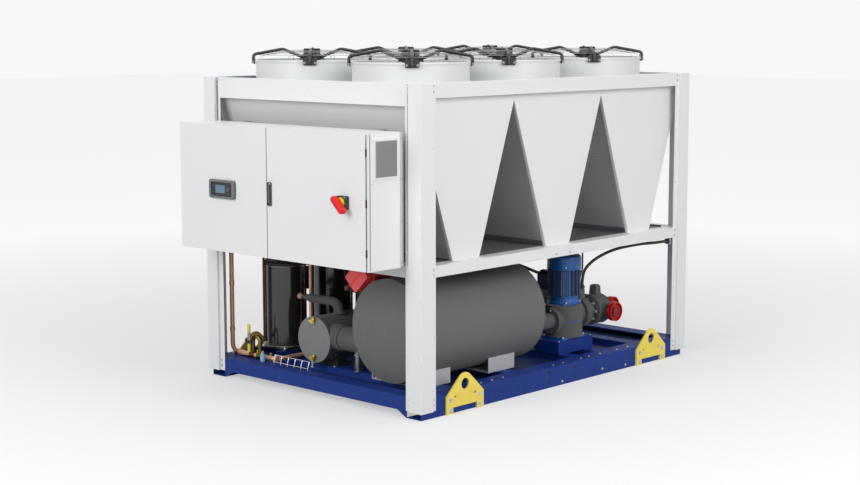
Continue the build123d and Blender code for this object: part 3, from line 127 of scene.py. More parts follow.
class Shape:
    """Gathers the solids of one piece in a single mesh."""

    def __init__(self):
        self.mesh = bmesh.new()

    def solid(self, points, faces, matrix=None):
        """Adds faces between points that a matrix may move."""
        made = [self.mesh.verts.new(matrix @ Vector(p) if matrix else p) for p in points]
        for face in faces:
            self.mesh.faces.new([made[i] for i in face])

    def block(self, low, high, matrix=None):
        """A box between two corners."""
        a, b = Vector(low), Vector(high)
        points = [(x, y, z) for z in (a.z, b.z) for y in (a.y, b.y) for x in (a.x, b.x)]
        faces = [(0, 2, 3, 1), (4, 5, 7, 6), (0, 1, 5, 4), (2, 6, 7, 3), (0, 4, 6, 2), (1, 3, 7, 5)]
        self.solid(points, faces, matrix)

    def turned(self, centre, axis, profile, around, turn=0.0):
        """A solid turned from (radius, height) pairs, closed at both ends."""
        turns = [2 * math.pi * i / around + turn for i in range(around)]
        points = [(radius * math.cos(a), radius * math.sin(a), height)
                  for radius, height in profile for a in turns]
        self.solid(points, skin(len(profile), around), aimed(centre, axis))

    def loop(self, centre, axis, radius, wire, around, across):
        """A closed ring of round wire."""
        points, faces = [], []
        for i in range(around):
            a, k = 2 * math.pi * i / around, (i + 1) % around
            for j in range(across):
                b, n = 2 * math.pi * j / across, (j + 1) % across
                r = radius + wire * math.cos(b)
                points.append((r * math.cos(a), r * math.sin(a), wire * math.sin(b)))
                faces.append((i * across + j, k * across + j, k * across + n, i * across + n))
        self.solid(points, faces, aimed(centre, axis))

    def tube(self, points, radius, across):
        """A round bar along points, closed at both ends."""
        turns = [2 * math.pi * k / across for k in range(across)]
        side, rings = None, []
        for i, p in enumerate(points):
            ahead = points[min(i + 1, len(points) - 1)] - points[max(i - 1, 0)]
            ahead.normalize()
            if side is None:
                side = ahead.orthogonal().normalized()
            side = (side - ahead * side.dot(ahead)).normalized()
            other = ahead.cross(side)
            rings += [p + radius * (math.cos(t) * side + math.sin(t) * other) for t in turns]
        self.solid(rings, skin(len(points), across))

    def slab(self, outline, origin, across, up, thickness):
        """A flat plate from an outline on two directions, thick along their cross product."""
        out = across.cross(up).normalized() * thickness
        points = [origin + across * u + up * v for u, v in outline]
        points += [p + out for p in points]
        n = len(outline)
        faces = [tuple(reversed(range(n))), tuple(range(n, 2 * n))]
        faces += [(i, (i + 1) % n, n + (i + 1) % n, n + i) for i in range(n)]
        self.solid(points, faces)

    def bolt(self, place, axis, across, head, washer):
        """A hexagon head with a chamfered top on a round washer."""
        r = across / 2 / math.cos(math.pi / 6)
        self.turned(place, axis, [(washer, 0), (washer, 0.0014), (washer * 0.96, 0.0018)], 20)
        self.turned(place, axis, [(r, 0.0018), (r, head * 0.85), (r * 0.86, head)], 6, 0.3)

    def screw(self, place, axis, radius=0.0055):
        """A low domed screw head, 3 mm high."""
        self.turned(place, axis, [(radius, 0), (radius * 0.92, 0.0015), (radius * 0.6, 0.0027),
                                  (radius * 0.2, 0.003)], 14)

    def finish(self, name, look, slot, body=BODY, soft_angle=35, bevel=0.0):
        """Turns the gathered solids into a piece that rides on a body."""
        bmesh.ops.recalc_face_normals(self.mesh, faces=self.mesh.faces)
        data = bpy.data.meshes.new(name)
        self.mesh.to_mesh(data)
        self.mesh.free()
        data.polygons.foreach_set("use_smooth", [True] * len(data.polygons))
        data.set_sharp_from_angle(angle=math.radians(soft_angle))
        data.materials.append(finishes[look])
        piece = placed(name, data)
        if bevel:
            round_edges(piece, bevel, 40)
        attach(piece, body)
        return piece


def arc(centre, across, up, radius, start, end, steps):
    """Points on a circular arc, in degrees."""
    turns = [math.radians(start + (end - start) * i / steps) for i in range(steps + 1)]
    return [centre + radius * (math.cos(t) * across + math.sin(t) * up) for t in turns]


def sheet(width, height):
    """The outline of a rectangle, from its lower left corner."""
    return [(0, 0), (width, 0), (width, height), (0, height)]


def corners(x, y):
    """The four points at these distances from the middle."""
    return [(sx * x, sy * y) for sx in (-1, 1) for sy in (-1, 1)]


def rounded(width, height, radius):
    """The outline of a rectangle with round corners, about its middle."""
    outline, steps = [], 5
    for sx, sy, first in ((1, 1, 0), (-1, 1, 90), (-1, -1, 180), (1, -1, 270)):
        for i in range(steps + 1):
            t = math.radians(first + 90 * i / steps)
            outline.append((sx * (width / 2 - radius) + radius * math.cos(t),
                            sy * (height / 2 - radius) + radius * math.sin(t)))
    return outline


# Finish tools
def srgb(red, green, blue):
    """A linear colour from the 0 to 255 values of a screen."""
    def linear(v):
        v /= 255
        return v / 12.92 if v <= 0.04045 else ((v + 0.055) / 1.055) ** 2.4
    return (linear(red), linear(green), linear(blue), 1.0)


class Nodes:
    """A node tree, with short ways to add to it."""

    def __init__(self, tree):
        self.nodes, self.links = tree.nodes, tree.links

    def feed(self, socket, value):
        """Links a socket to another one, or sets its value."""
        if isinstance(value, bpy.types.NodeSocket):
            self.links.new(value, socket)
        else:
            socket.default_value = value

    def add(self, kind, **inputs):
        """A new node, with its inputs by name and _ for a space."""
        node = self.nodes.new("ShaderNode" + kind)
        for name, value in inputs.items():
            self.feed(node.inputs[name.replace("_", " ")], value)
        return node

    def math(self, kind, *values):
        """The result of a sum of one to three values."""
        node = self.add("Math")
        node.operation = kind
        for socket, value in zip(node.inputs, values):
            self.feed(socket, value)
        return node.outputs[0]

    def span(self, value, low, high, to_low, to_high):
        """Maps one range of values onto another."""
        return self.add("MapRange", Value=value, From_Min=low, From_Max=high, To_Min=to_low,
                        To_Max=to_high).outputs["Result"]


class Finish(Nodes):
    """A node material with a shader whose sockets are set once."""

    def __init__(self, name, colour, roughness=0.5, metallic=0.0, coat=0.0, specular=0.5):
        self.material = bpy.data.materials.new(name)
        self.material.use_nodes = True
        self.material.diffuse_color = colour
        super().__init__(self.material.node_tree)
        self.shader = self.nodes["Principled BSDF"]
        for socket, value in (("Base Color", colour), ("Roughness", roughness),
                              ("Metallic", metallic), ("Coat Weight", coat),
                              ("Coat Roughness", 0.12), ("Specular IOR Level", specular)):
            self.shader.inputs[socket].default_value = value
        self.place = self.add("TexCoord").outputs["Object"]
        self.paint = colour
        self.height = None

    def noise(self, scale, detail=4.0, rough=0.55, stretch=None):
        """A noise in the object's own metres."""
        place = self.place
        if stretch:
            place = self.add("Mapping", Scale=stretch, Vector=place).outputs["Vector"]
        return self.add("TexNoise", Scale=scale, Detail=detail, Roughness=rough,
                        Vector=place).outputs["Fac"]

    def cells(self, scale):
        """Flat random cells, as on zinc."""
        node = self.add("TexVoronoi", Scale=scale, Vector=self.place)
        return self.add("SeparateColor", Color=node.outputs["Color"]).outputs["Red"]

    def stripes(self, axis, pitch, sharp=1.0):
        """Waves along one axis, from 0 to 1, one per pitch."""
        along = self.add("SeparateXYZ", Vector=self.place).outputs[axis]
        wave = self.math("SINE", self.math("MULTIPLY", along, 2 * math.pi / pitch))
        return self.math("POWER", self.math("MULTIPLY_ADD", wave, 0.5, 0.5), sharp)

    def tint(self, value, colour, low=0.0, high=1.0, amount=1.0):
        """Moves the colour towards another one where a pattern is high."""
        mix = self.add("Mix")
        mix.data_type = "RGBA"
        self.feed(mix.inputs["Factor"], self.span(value, low, high, 0.0, amount))
        self.feed(mix.inputs["A"], self.paint)
        self.feed(mix.inputs["B"], colour)
        self.paint = mix.outputs["Result"]
        self.feed(self.shader.inputs["Base Color"], self.paint)

    def polish(self, value, low, high, to_low, to_high):
        """Lets a pattern steer the roughness."""
        self.feed(self.shader.inputs["Roughness"], self.span(value, low, high, to_low, to_high))

    def relief(self, value, strength, distance):
        """Adds a pattern to the surface's relief."""
        bump = self.add("Bump", Strength=strength, Distance=distance, Height=value)
        if self.height is not None:
            self.feed(bump.inputs["Normal"], self.height)
        self.height = bump.outputs["Normal"]
        self.feed(self.shader.inputs["Normal"], self.height)


def shade(colour, factor):
    """A lighter or darker copy of a colour."""
    return tuple(min(1.0, c * factor) for c in colour[:3]) + (1.0,)


def powder_coat(name, colour, roughness, mottle, coat=0.15, specular=0.5):
    """Baked powder paint: fine orange peel and faint cloudiness."""
    f = Finish(name, colour, roughness, coat=coat, specular=specular)
    f.tint(f.noise(2.3, 3), shade(colour, 1 - mottle * 2), 0.35, 0.75)
    f.tint(f.noise(38, 4), shade(colour, 1 - mottle), 0.45, 0.8, 0.7)
    f.polish(f.noise(14, 4), 0.3, 0.7, roughness - 0.05, roughness + 0.09)
    f.relief(f.noise(420, 2), 0.10, 0.0006)
    f.relief(f.noise(1.6, 2), 0.10, 0.01)
    return f.material


def bare_metal(name, colour, roughness, stain, stain_amount=0.5, metallic=1.0):
    """Plain metal with stains and a fine grain."""
    f = Finish(name, colour, roughness, metallic=metallic)
    f.tint(f.noise(24, 6, 0.65), stain, 0.42, 0.72, stain_amount)
    f.polish(f.noise(60, 5), 0.3, 0.7, roughness - 0.08, roughness + 0.14)
    f.relief(f.noise(700, 2, 0.5), 0.12, 0.0003)
    return f.material


def moulded(name, colour, roughness=0.45, grain=900, strength=0.16):
    """Moulded plastic with a fine grain."""
    f = Finish(name, colour, roughness)
    f.tint(f.noise(30, 3), shade(colour, 0.84), 0.4, 0.75)
    f.polish(f.noise(80, 3), 0.3, 0.7, roughness - 0.05, roughness + 0.08)
    f.relief(f.noise(grain, 2), strength, 0.0004)
    return f.material


def foam(name, colour, roughness=0.78, pores=1.0):
    """Closed-cell foam rubber with pores, scuffs and a sheen."""
    f = Finish(name, colour, roughness, specular=0.35)
    f.shader.inputs["Sheen Weight"].default_value = 0.12
    f.shader.inputs["Sheen Roughness"].default_value = 0.5
    f.tint(f.noise(5, 5, 0.6), shade(colour, 1 + 0.4 * pores), 0.45, 0.8, 0.5)
    f.tint(f.noise(90, 4), shade(colour, 1 - 0.3 * pores), 0.5, 0.8, 0.5)
    f.polish(f.noise(20, 4), 0.3, 0.7, roughness - 0.1, roughness + 0.08)
    f.relief(f.noise(260, 3), 0.22 * pores, 0.0008)
    f.relief(f.noise(6, 2), 0.15 * pores, 0.01)
    return f.material


def cast(name, colour, roughness=0.5, scale=160):
    """Painted casting with a sand-cast skin."""
    f = Finish(name, colour, roughness, coat=0.1)
    f.tint(f.noise(12, 4), shade(colour, 0.72), 0.4, 0.75)
    f.polish(f.noise(50, 4), 0.3, 0.7, roughness - 0.08, roughness + 0.1)
    f.relief(f.noise(scale, 4), 0.3, 0.0008)
    return f.material


def zinc_sheet(name, colour):
    """Galvanised sheet with its spangle."""
    f = Finish(name, colour, 0.42, metallic=0.85)
    f.tint(f.cells(70), shade(colour, 0.72), 0.2, 0.9, 0.8)
    f.polish(f.cells(70), 0.0, 1.0, 0.32, 0.52)
    f.relief(f.noise(300, 2), 0.08, 0.0004)
    return f.material


def finned(name, colour):
    """A coil face: fine upright fins over rows of tubes that barely show."""
    f = Finish(name, colour, 0.5, metallic=0.2)
    f.tint(f.stripes("Z", 0.025, 2.0), shade(colour, 0.88), 0.0, 1.0, 0.5)
    f.tint(f.noise(1.5, 3), shade(colour, 0.8), 0.4, 0.75)
    f.tint(f.noise(60, 3, 0.6, (1, 1, 0.12)), shade(colour, 0.85), 0.5, 0.8, 0.5)
    f.relief(f.stripes("X", 0.004, 1.0), 0.15, 0.0005)
    return f.material


def enamel(name, colour, roughness=0.22, wave=0.08):
    """Thick gloss paint with slight waves."""
    f = Finish(name, colour, roughness, coat=0.5)
    f.tint(f.noise(8, 3), shade(colour, 1.5), 0.5, 0.85, 0.4)
    f.polish(f.noise(30, 4), 0.3, 0.7, roughness - 0.04, roughness + 0.08)
    f.relief(f.noise(9, 2), wave, 0.002)
    return f.material


def display_glass(name, colour):
    """A dimly lit display behind a smooth window."""
    f = Finish(name, colour, 0.2, coat=0.2)
    f.tint(f.stripes("Z", 0.011, 6.0), shade(colour, 0.7), 0.2, 1.0, 0.4)
    f.tint(f.noise(60, 2), shade(colour, 1.15), 0.4, 0.7, 0.5)
    f.shader.inputs["Emission Color"].default_value = colour
    f.shader.inputs["Emission Strength"].default_value = 0.05
    return f.material


finishes = {}


def make_finishes(c):
    """All finishes of the chiller by name."""
    zinc_stain = srgb(120, 120, 122)
    finishes.update({
        "white": powder_coat("white powder coat", c.white, 0.40, 0.010),
        "cowl": powder_coat("fan cowl paint", srgb(226, 228, 229), 0.42, 0.02),
        "panel": powder_coat("grey screen paint", c.screen, 0.42, 0.02),
        "grey": powder_coat("grey bracket paint", c.bracket, 0.45, 0.05),
        "blue": powder_coat("blue base paint", c.base, 0.58, 0.08, 0.0, 0.3),
        "deck_blue": powder_coat("blue deck paint", srgb(18, 42, 98), 0.62, 0.12),
        "seal": moulded("grey seal rubber", srgb(150, 154, 158), 0.6, 300),
        "yellow": powder_coat("yellow lug paint", c.lug, 0.45, 0.04),
        # Zinc grey of the valley sheets, darkened as painted shade
        "valley_shade": powder_coat("valley zinc with painted shade", srgb(98, 100, 104), 0.5, 0.05),
        # The coil frames' own grey, darkened by painted shade; also the painted shade strips on the
        # front posts' flanges
        "edge": powder_coat("edge grey with painted shade", srgb(126, 130, 138), 0.45, 0.04),
        "zinc": zinc_sheet("galvanised sheet", srgb(176, 179, 182)),
        "bolt": bare_metal("zinc bolts", srgb(205, 207, 210), 0.34, zinc_stain),
        "steel": bare_metal("plain steel", srgb(150, 152, 155), 0.38, srgb(92, 90, 88)),
        "rod": powder_coat("black rod coating", srgb(38, 39, 41), 0.42, 0.08),
        "casting": cast("black motor casting", srgb(50, 51, 54)),
        "blade": moulded("fan blade plastic", srgb(64, 66, 70), 0.5, 500),
        "wire": powder_coat("guard wire coating", srgb(176, 178, 180), 0.4, 0.03),
        "vent": powder_coat("vent rib paint", srgb(150, 151, 153), 0.45, 0.03),
        "coil": finned("coil fins", c.coil),
        "case": moulded("black case plastic", srgb(46, 47, 50), 0.42),
        "grip": moulded("grey handle plastic", srgb(84, 85, 88), 0.42),
        "bezel": moulded("grey bezel plastic", srgb(112, 114, 117), 0.4),
        "gloss": moulded("black fascia", srgb(20, 21, 23), 0.35, 1400, 0.04),
        "silver": bare_metal("silver lock", srgb(178, 180, 184), 0.3, zinc_stain),
        "screen": display_glass("display", srgb(92, 124, 148)),
        "red": moulded("red handle plastic", srgb(226, 0, 4), 0.44, 900, 0.06),
        "cap": moulded("red cap plastic", srgb(200, 22, 26), 0.4, 500, 0.08),
        # Darker red for the caps' recesses: painted shade
        "recess": moulded("cap red darkened as painted shade", srgb(120, 10, 14), 0.5, 500, 0.08),
        "yellow_plastic": moulded("yellow disc plastic", srgb(236, 232, 10), 0.35),
        "tank": foam("tank jacket", c.tank, 0.6, 0.4),
        "foam": foam("pipe insulation", c.insulation),
        "cover": foam("evaporator end cover", srgb(128, 128, 128), 0.62, 0.5),
        "vessel": powder_coat("red vessel paint", srgb(255, 85, 85), 0.4, 0.03),
        "compressor": enamel("compressor enamel", srgb(34, 35, 36), 0.13, 0.03),
        "copper": bare_metal("copper pipe", srgb(250, 188, 156),
                             0.38, srgb(214, 142, 110), 0.3, 0.35),
        "dull_copper": bare_metal("oxidised copper", srgb(96, 56, 42), 0.4, srgb(50, 32, 28)),
        "brass": bare_metal("brass fittings", srgb(226, 204, 92), 0.3, srgb(116, 92, 40)),
        "olive": bare_metal("passivated valve body", srgb(126, 106, 44), 0.34, srgb(58, 50, 26)),
        "lemon": powder_coat("yellow lever sleeve", srgb(230, 214, 66), 0.38, 0.04),
        "cream": moulded("cream valve plug", srgb(216, 212, 190), 0.4),
        "drier": enamel("drier enamel", srgb(140, 196, 224), 0.28),
        "navy": cast("navy motor paint", srgb(44, 72, 112), 0.36, 120),
        # Lighter blue for the motor ribs that face the camera: painted highlight
        "highlight_ribs": cast("blue motor paint with painted highlight", srgb(44, 84, 138), 0.36, 140),
        "bright": cast("bright blue motor paint", c.motor, 0.34, 140),
        "rubber": moulded("black rubber", srgb(24, 24, 25), 0.66, 300),
        "cable": moulded("cable sheath", srgb(34, 34, 36), 0.5, 700),
        "light_plastic": moulded("light grey switchgear", srgb(206, 208, 208), 0.4),
        "duct": moulded("grey wiring duct", srgb(142, 146, 150), 0.5),
        "capillary": bare_metal("tinned capillary", srgb(210, 210, 214), 0.3,
                                srgb(150, 140, 130)),
    })


FRAME_NODES = ["corner_posts", "top_side_beams", "top_front_beam", "top_rear_beam",
               "mid_side_beams", "mid_front_beam", "mid_rear_beam"]
BASE_NODES = ["base_side_beams", "base_front_beam", "base_rear_beam", "base_cross_beams"]
NODE_FINISHES = {
    "white": FRAME_NODES + ["side_post", "module_end_plates", "cabinet_body",
                            "cabinet_left_panel", "cabinet_door", "vent_grille"],
    "blue": BASE_NODES + ["compressor_rails", "pump_plinth"],
    "deck_blue": ["base_floor"], "cowl": ["fan_cowls"],
    "yellow": ["lifting_lugs"], "zinc": ["fan_deck", "drain_trays", "mounting_plate"],
    "wire": ["fan_guards"], "rod": ["fan_arms"],
    "casting": ["fan_motors", "door_hinges", "evaporator_feet"], "blade": ["fan_impellers"],
    "coil": ["coil_panels"], "panel": ["front_screen"],
    "grey": ["cabinet_supports", "tank_saddles"], "grip": ["door_handle_plate", "door_lever"],
    "case": ["isolator_base"], "gloss": ["controller"], "red": ["isolator_handle"],
    "cap": ["pipe_caps"], "tank": ["buffer_tank"], "vessel": ["expansion_vessel"],
    "foam": ["evaporator", "suction_pipes", "pump_body", "water_pipes", "valve_necks"],
    "brass": ["drain_valves"], "compressor": ["compressors"], "copper": ["copper_pipes"],
    "olive": ["service_valve"], "drier": ["filter_drier"], "navy": ["pump_motor"],
    "steel": ["pipe_flanges"],
}
EDGED = FRAME_NODES + BASE_NODES + [
    "lifting_lugs", "pump_plinth", "tank_saddles", "compressor_rails", "controller",
    "isolator_base", "isolator_handle"]


# Settings
def length_setting(name, description, value, low, high):
    """A length in metres with its limits."""
    return bpy.props.FloatProperty(name=name, description=description, default=value, min=low,
                                   max=high, subtype="DISTANCE", unit="LENGTH")


class ChillerSizes(bpy.types.PropertyGroup):
    """Sizes of the small parts."""

    guard_wire: length_setting("Guard wire", "Radius of the fan guards' wires", 0.0011, 0.0005,
                               0.003)
    guard_radials: bpy.props.IntProperty(
        name="Guard radials", description="Radial wires in each fan guard", default=8,
        min=4, max=24)
    bolt: length_setting("Bolt", "Width across the flats of the frame's bolts", 0.016, 0.008, 0.03)
    cable: length_setting("Cable", "Diameter of the pump's cables", 0.024, 0.010, 0.028)


def colour_setting(name, description, value):
    """A colour with its alpha."""
    return bpy.props.FloatVectorProperty(name=name, description=description, default=value, size=4,
                                         min=0, max=1, subtype="COLOR")


class ChillerColours(bpy.types.PropertyGroup):
    """Colours of the main finishes."""

    white: colour_setting("White", "Paint of the frame and the panels", srgb(236, 238, 239))
    screen: colour_setting("Screen", "Paint of the front screen", srgb(214, 215, 216))
    bracket: colour_setting("Brackets", "Paint of the saddles and supports", srgb(188, 190, 192))
    base: colour_setting("Base", "Paint of the base frame", srgb(18, 54, 136))
    lug: colour_setting("Lugs", "Paint of the lifting lugs", srgb(255, 229, 96))
    coil: colour_setting("Coils", "The coil fins", srgb(220, 220, 222))
    tank: colour_setting("Tank", "The tank's jacket", srgb(104, 104, 104))
    insulation: colour_setting("Insulation", "The pipes' foam", srgb(90, 90, 91))
    motor: colour_setting("Motor", "The pump motor's cover", srgb(24, 98, 176))


class Build:
    """Options that all the operators share."""

    bl_options = {"REGISTER", "UNDO"}


class CHILLER_OT_finishes(Build, bpy.types.Operator):
    """Makes the finishes and gives the CAD pieces theirs"""

    bl_idname = "chiller.finishes"
    bl_label = "Finishes"

    def execute(self, context):
        make_finishes(context.scene.chiller_colours)
        for finish, nodes in NODE_FINISHES.items():
            for name in nodes:
                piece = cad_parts[name]
                piece.data.materials.clear()
                piece.data.materials.append(finishes[finish])
        for name in EDGED:
            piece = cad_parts[name]
            weld = piece.modifiers.new("join corners", "WELD")
            weld.merge_threshold = 0.00001
            round_edges(piece, 0.0014, 50)
        return {"FINISHED"}


class CHILLER_OT_fan_guards(Build, bpy.types.Operator):
    """Adds the guards' wires and hub plates, the arms' coating and bolts, and the cowls' beads"""

    bl_idname = "chiller.fan_guards"
    bl_label = "Fan guards"

    def execute(self, context):
        sizes = context.scene.chiller_sizes
        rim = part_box("fan_cowls")[1].z
        ring_wire = sizes.guard_wire * 1.3
        edge, run_in, foot, rise = 0.437, 0.225, 2.4485, 0.0395

        def height(radius):
            """The guard's dome: steep near the rim, flat towards the hub."""
            return foot + rise * min(1.0, max(0.0, (edge - radius) / run_in))

        arm_line = ((0.440, 2.396), (0.440, 2.443), (0.4365, 2.455), (0.427, 2.463),
                    (0.414, 2.4662), (0.238, 2.4985), (0.224, 2.5000), (0.212, 2.4993),
                    (0.200, 2.4950), (0.0500, 2.4325))
        arms, wires, plates, bolts, beads = (Shape() for _ in range(5))
        for fan in FANS:
            for radius in (0.222, 0.2797, 0.3373, 0.395):
                ring = fan + Z * (2.4908 - 0.1844 * (radius - 0.222))
                wires.loop(ring, Z, radius, ring_wire, 72, 6)
            for radius in (0.136, 0.193, 0.251, 0.309, 0.3665):
                wires.loop(fan + Z * (height(radius) - 0.002), Z, radius, sizes.guard_wire, 56, 6)
            for k in range(sizes.guard_radials):
                out = heading(2 * math.pi * (k + 0.5) / sizes.guard_radials)
                run = [(r, height(r) - 0.004) for r in (0.075, 0.15, 0.212, 0.28, 0.35, 0.412)]
                run += [(0.4135, rim - 0.004), (0.4135, rim - 0.035)]
                wires.tube([fan + Z * z + out * r for r, z in run], ring_wire, 6)
            plates.turned(fan + Z * 2.4535, Z,
                          [(0.064, 0), (0.080, 0), (0.082, 0.003), (0.078, 0.006), (0.064, 0.006)],
                          32)
            beads.loop(fan + Z * (rim - 0.001), Z, 0.418, 0.0032, 96, 8)
            for out in map(heading, DIAGONALS):
                arms.tube([fan + Z * z + out * r for r, z in arm_line], 0.0115, 12)
                for side in (-0.040, 0.040):
                    spot = fan + out * 0.433 + Vector((-out.y, out.x, 0)) * side
                    bolts.turned(spot + Z * (rim - 0.018), out,
                                 [(0.0105, 0), (0.0105, 0.003), (0.0085, 0.004), (0.008, 0.013),
                                  (0.005, 0.016)], 16)
        arms.finish("arm_coating", "rod", "black_rod")
        piece = wires.finish("guard_wires", "wire", "guard_wire")
        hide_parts("fan_guards")
        plates.finish("guard_hub_plates", "casting", "black_casting")
        bolts.finish("arm_bolts", "steel", "steel")
        beads.finish("cowl_beads", "cowl", "white_paint")
        return {"FINISHED"}


class CHILLER_OT_fan_motors(Build, bpy.types.Operator):
    """Adds ribs, cap rings and brackets to the fan motors"""

    bl_idname = "chiller.fan_motors"
    bl_label = "Fan motors"

    def execute(self, context):
        ribs = Shape()
        low, high = 2.452, 2.5045
        for fan in FANS:
            for k in range(18):
                ribs.block((0.028, -0.0036, low), (0.0632, 0.0036, high - 0.004),
                           spun(fan, 2 * math.pi * (k + 0.5) / 18))
            ribs.turned(fan + Z * (high - 0.014), Z,
                        [(0.030, 0), (0.034, 0.002), (0.034, 0.009), (0.028, 0.012)], 24)
            for turn in DIAGONALS:
                out, spin = heading(turn), spun(fan, turn)
                ribs.block((0.055, -0.017, 2.4215), (0.094, 0.017, 2.4275), spin)
                ribs.block((0.058, -0.017, 2.4275), (0.064, 0.017, 2.452), spin)
                ribs.bolt(fan + out * 0.084 + Vector((-out.y, out.x, 0)) * 0.012
                          + Z * 2.4275, Z, 0.010, 0.006, 0.008)
        ribs.finish("motor_ribs", "casting", "black_casting", bevel=0.0006)
        return {"FINISHED"}


class CHILLER_OT_frame_bolts(Build, bpy.types.Operator):
    """Adds the bolts of the posts, lugs and base, painted shade strips on the front posts' flanges,
    and plugs
    """

    bl_idname = "chiller.frame_bolts"
    bl_label = "Frame bolts"

    def execute(self, context):
        size = context.scene.chiller_sizes.bolt
        small = Shape()
        for sx, sy in corners(1, 1):
            faces = ((995, 1551.4, Y * sy), (1110, 1427, X * sx))
            for z in (2278, 2239, 1034, 996, 130, 90):
                for x, y, axis in faces:
                    small.bolt(at(sx * x, sy * y, z), axis, size * 0.8, 0.007, 0.0095)
            for z in (1855, 1426, 565):
                for x, y, axis in faces:
                    small.screw(at(sx * x, sy * y, z), axis)
        small.finish("post_bolts", "bolt", "steel")
        # Dark strips on the front posts' flanges: painted shade where each post's fold shades its
        # flange
        shade_strips = Shape()
        for x in (-1006, 984):
            shade_strips.block(at(x, -1551.6, 1058), at(x + 22, -1551, 2292))
        shade_strips.finish("post_flange_shade", "edge", "black_plastic")
        lugs = Shape()
        for sx in (-1, 1):
            for y in (-1114, 1114):
                for side in (-1, 1):
                    for z in (28, 100):
                        lugs.bolt(at(sx * 1122, y + side * 150, z), X * sx, size * 1.35,
                                  0.011, 0.017)
        lugs.finish("lug_bolts", "bolt", "steel")
        base = Shape()
        for sx in (-1, 1):
            for y in (-1500, -1380, -880, -760, -640, -60, 60, 280, 380, 520, 740, 880, 1380, 1500):
                base.bolt(at(sx * 1060, y, 150), Z, size * 0.8, 0.007, 0.010)
            for y in (-89, 72):
                base.bolt(at(sx * 1107, y, 1000), X * sx, size * 0.8, 0.007, 0.010)
        base.finish("base_bolts", "bolt", "steel")
        plugs, dots, screws = Shape(), Shape(), Shape()
        for sx in (-1, 1):
            for y, z in ((-160, 117), (-160, 48), (152, 113), (152, 41)):
                plugs.turned(at(sx * 1107, y, z), X * sx,
                             [(0.0125, 0), (0.0125, 0.0008), (0.010, 0.0012), (0.009, 0.0004)], 24)
            for y, z in ((-5, 27), (491, 44), (790, 29)):
                dots.turned(at(sx * 1107, y, z), X * sx,
                            [(0.0085, 0), (0.0085, 0.002), (0.006, 0.004), (0.002, 0.0045)], 18)
        plugs.finish("hole_plugs", "rubber", "black_plastic")
        dots.finish("drain_plugs", "lemon", "yellow_paint")
        for sy in (-1, 1):
            screws.screw(at(0, sy * 1548, 2232), Y * sy)
        screws.finish("beam_screws", "bolt", "steel")
        return {"FINISHED"}


class CHILLER_OT_modules(Build, bpy.types.Operator):
    """Adds the coil modules' feet, edge strips and headers, and the sheets between modules"""

    bl_idname = "chiller.modules"
    bl_label = "Coil modules"

    def execute(self, context):
        # How far the coils lean out for each metre of height
        slope = (0.511 - 0.1375) / (2.150 - 1.056)
        feet, frames, strips, pipes, floor = Shape(), Shape(), Shape(), Shape(), Shape()
        for sx in (-1, 1):
            for y in MODULE_ROWS:
                foot = at(sx * 1045, y, 1056)
                feet.block(foot + Vector((-0.004 if sx > 0 else -0.03, -0.1375, 0)),
                           foot + Vector((0.03 if sx > 0 else 0.004, 0.1375, 0.003)))
        feet.finish("module_feet", "white", "white_paint", bevel=0.0008)
        for y in MODULE_ROWS:
            for side in (-1, 1):
                outward = Vector((0, side, 0))
                low = at(0, y, 1063) + outward * (0.0975 + slope * 0.007)
                high = at(0, y, 2256) + outward * (0.0975 + slope * 1.2)
                rise = (high - low).normalized()
                normal = Vector((0, side * rise.z, -side * rise.y))
                length = (high - low).length
                thick = 0.002 if side < 0 else -0.002
                # The front coil's outer edge strips take the white paint; the others take the grey
                # darkened as painted shade
                edge = strips if y == MODULE_ROWS[0] and side < 0 else frames
                for x in (-1.041, 1.013):
                    edge.slab(sheet(0.028, length), low + X * x + normal * 0.0004, X,
                              rise, thick)
                if edge is frames:
                    for start in (0.0, length - 0.03):
                        frames.slab(sheet(2.082, 0.03), low + X * -1.041 + rise * start
                                    + normal * 0.0006, X, rise, thick)
                inner = -normal * 0.06
                for x in (-0.98, 0.98):
                    a = low + X * x + rise * 0.12 + inner
                    b = low + X * x + rise * (length - 0.14) + inner
                    pipes.tube([a, b], 0.016, 14)
                    for k in range(14):
                        p = a + (b - a) * (k + 0.5) / 14
                        pipes.tube([p, p - inner * 0.45], 0.006, 8)
        # The frames' grey is partly painted shade
        frames.finish("coil_frames", "edge", "galvanised")
        strips.finish("screen_edges", "white", "white_paint")
        pipes.finish("coil_headers", "dull_copper", "copper")
        # Sheets between the modules, in zinc darkened as painted shade
        for start, end in ((-1398, -1160.5), (-885.5, -137.5), (137.5, 885.5), (1160.5, 1398)):
            floor.block(at(-1000, start, 1056), at(1000, end, 1057.2))
            for y in (start, end - 3):
                floor.block(at(-1000, y, 1057.2), at(1000, y + 3, 1069))
        floor.finish("valley_sheets", "valley_shade", "galvanised", bevel=0.0004)
        return {"FINISHED"}


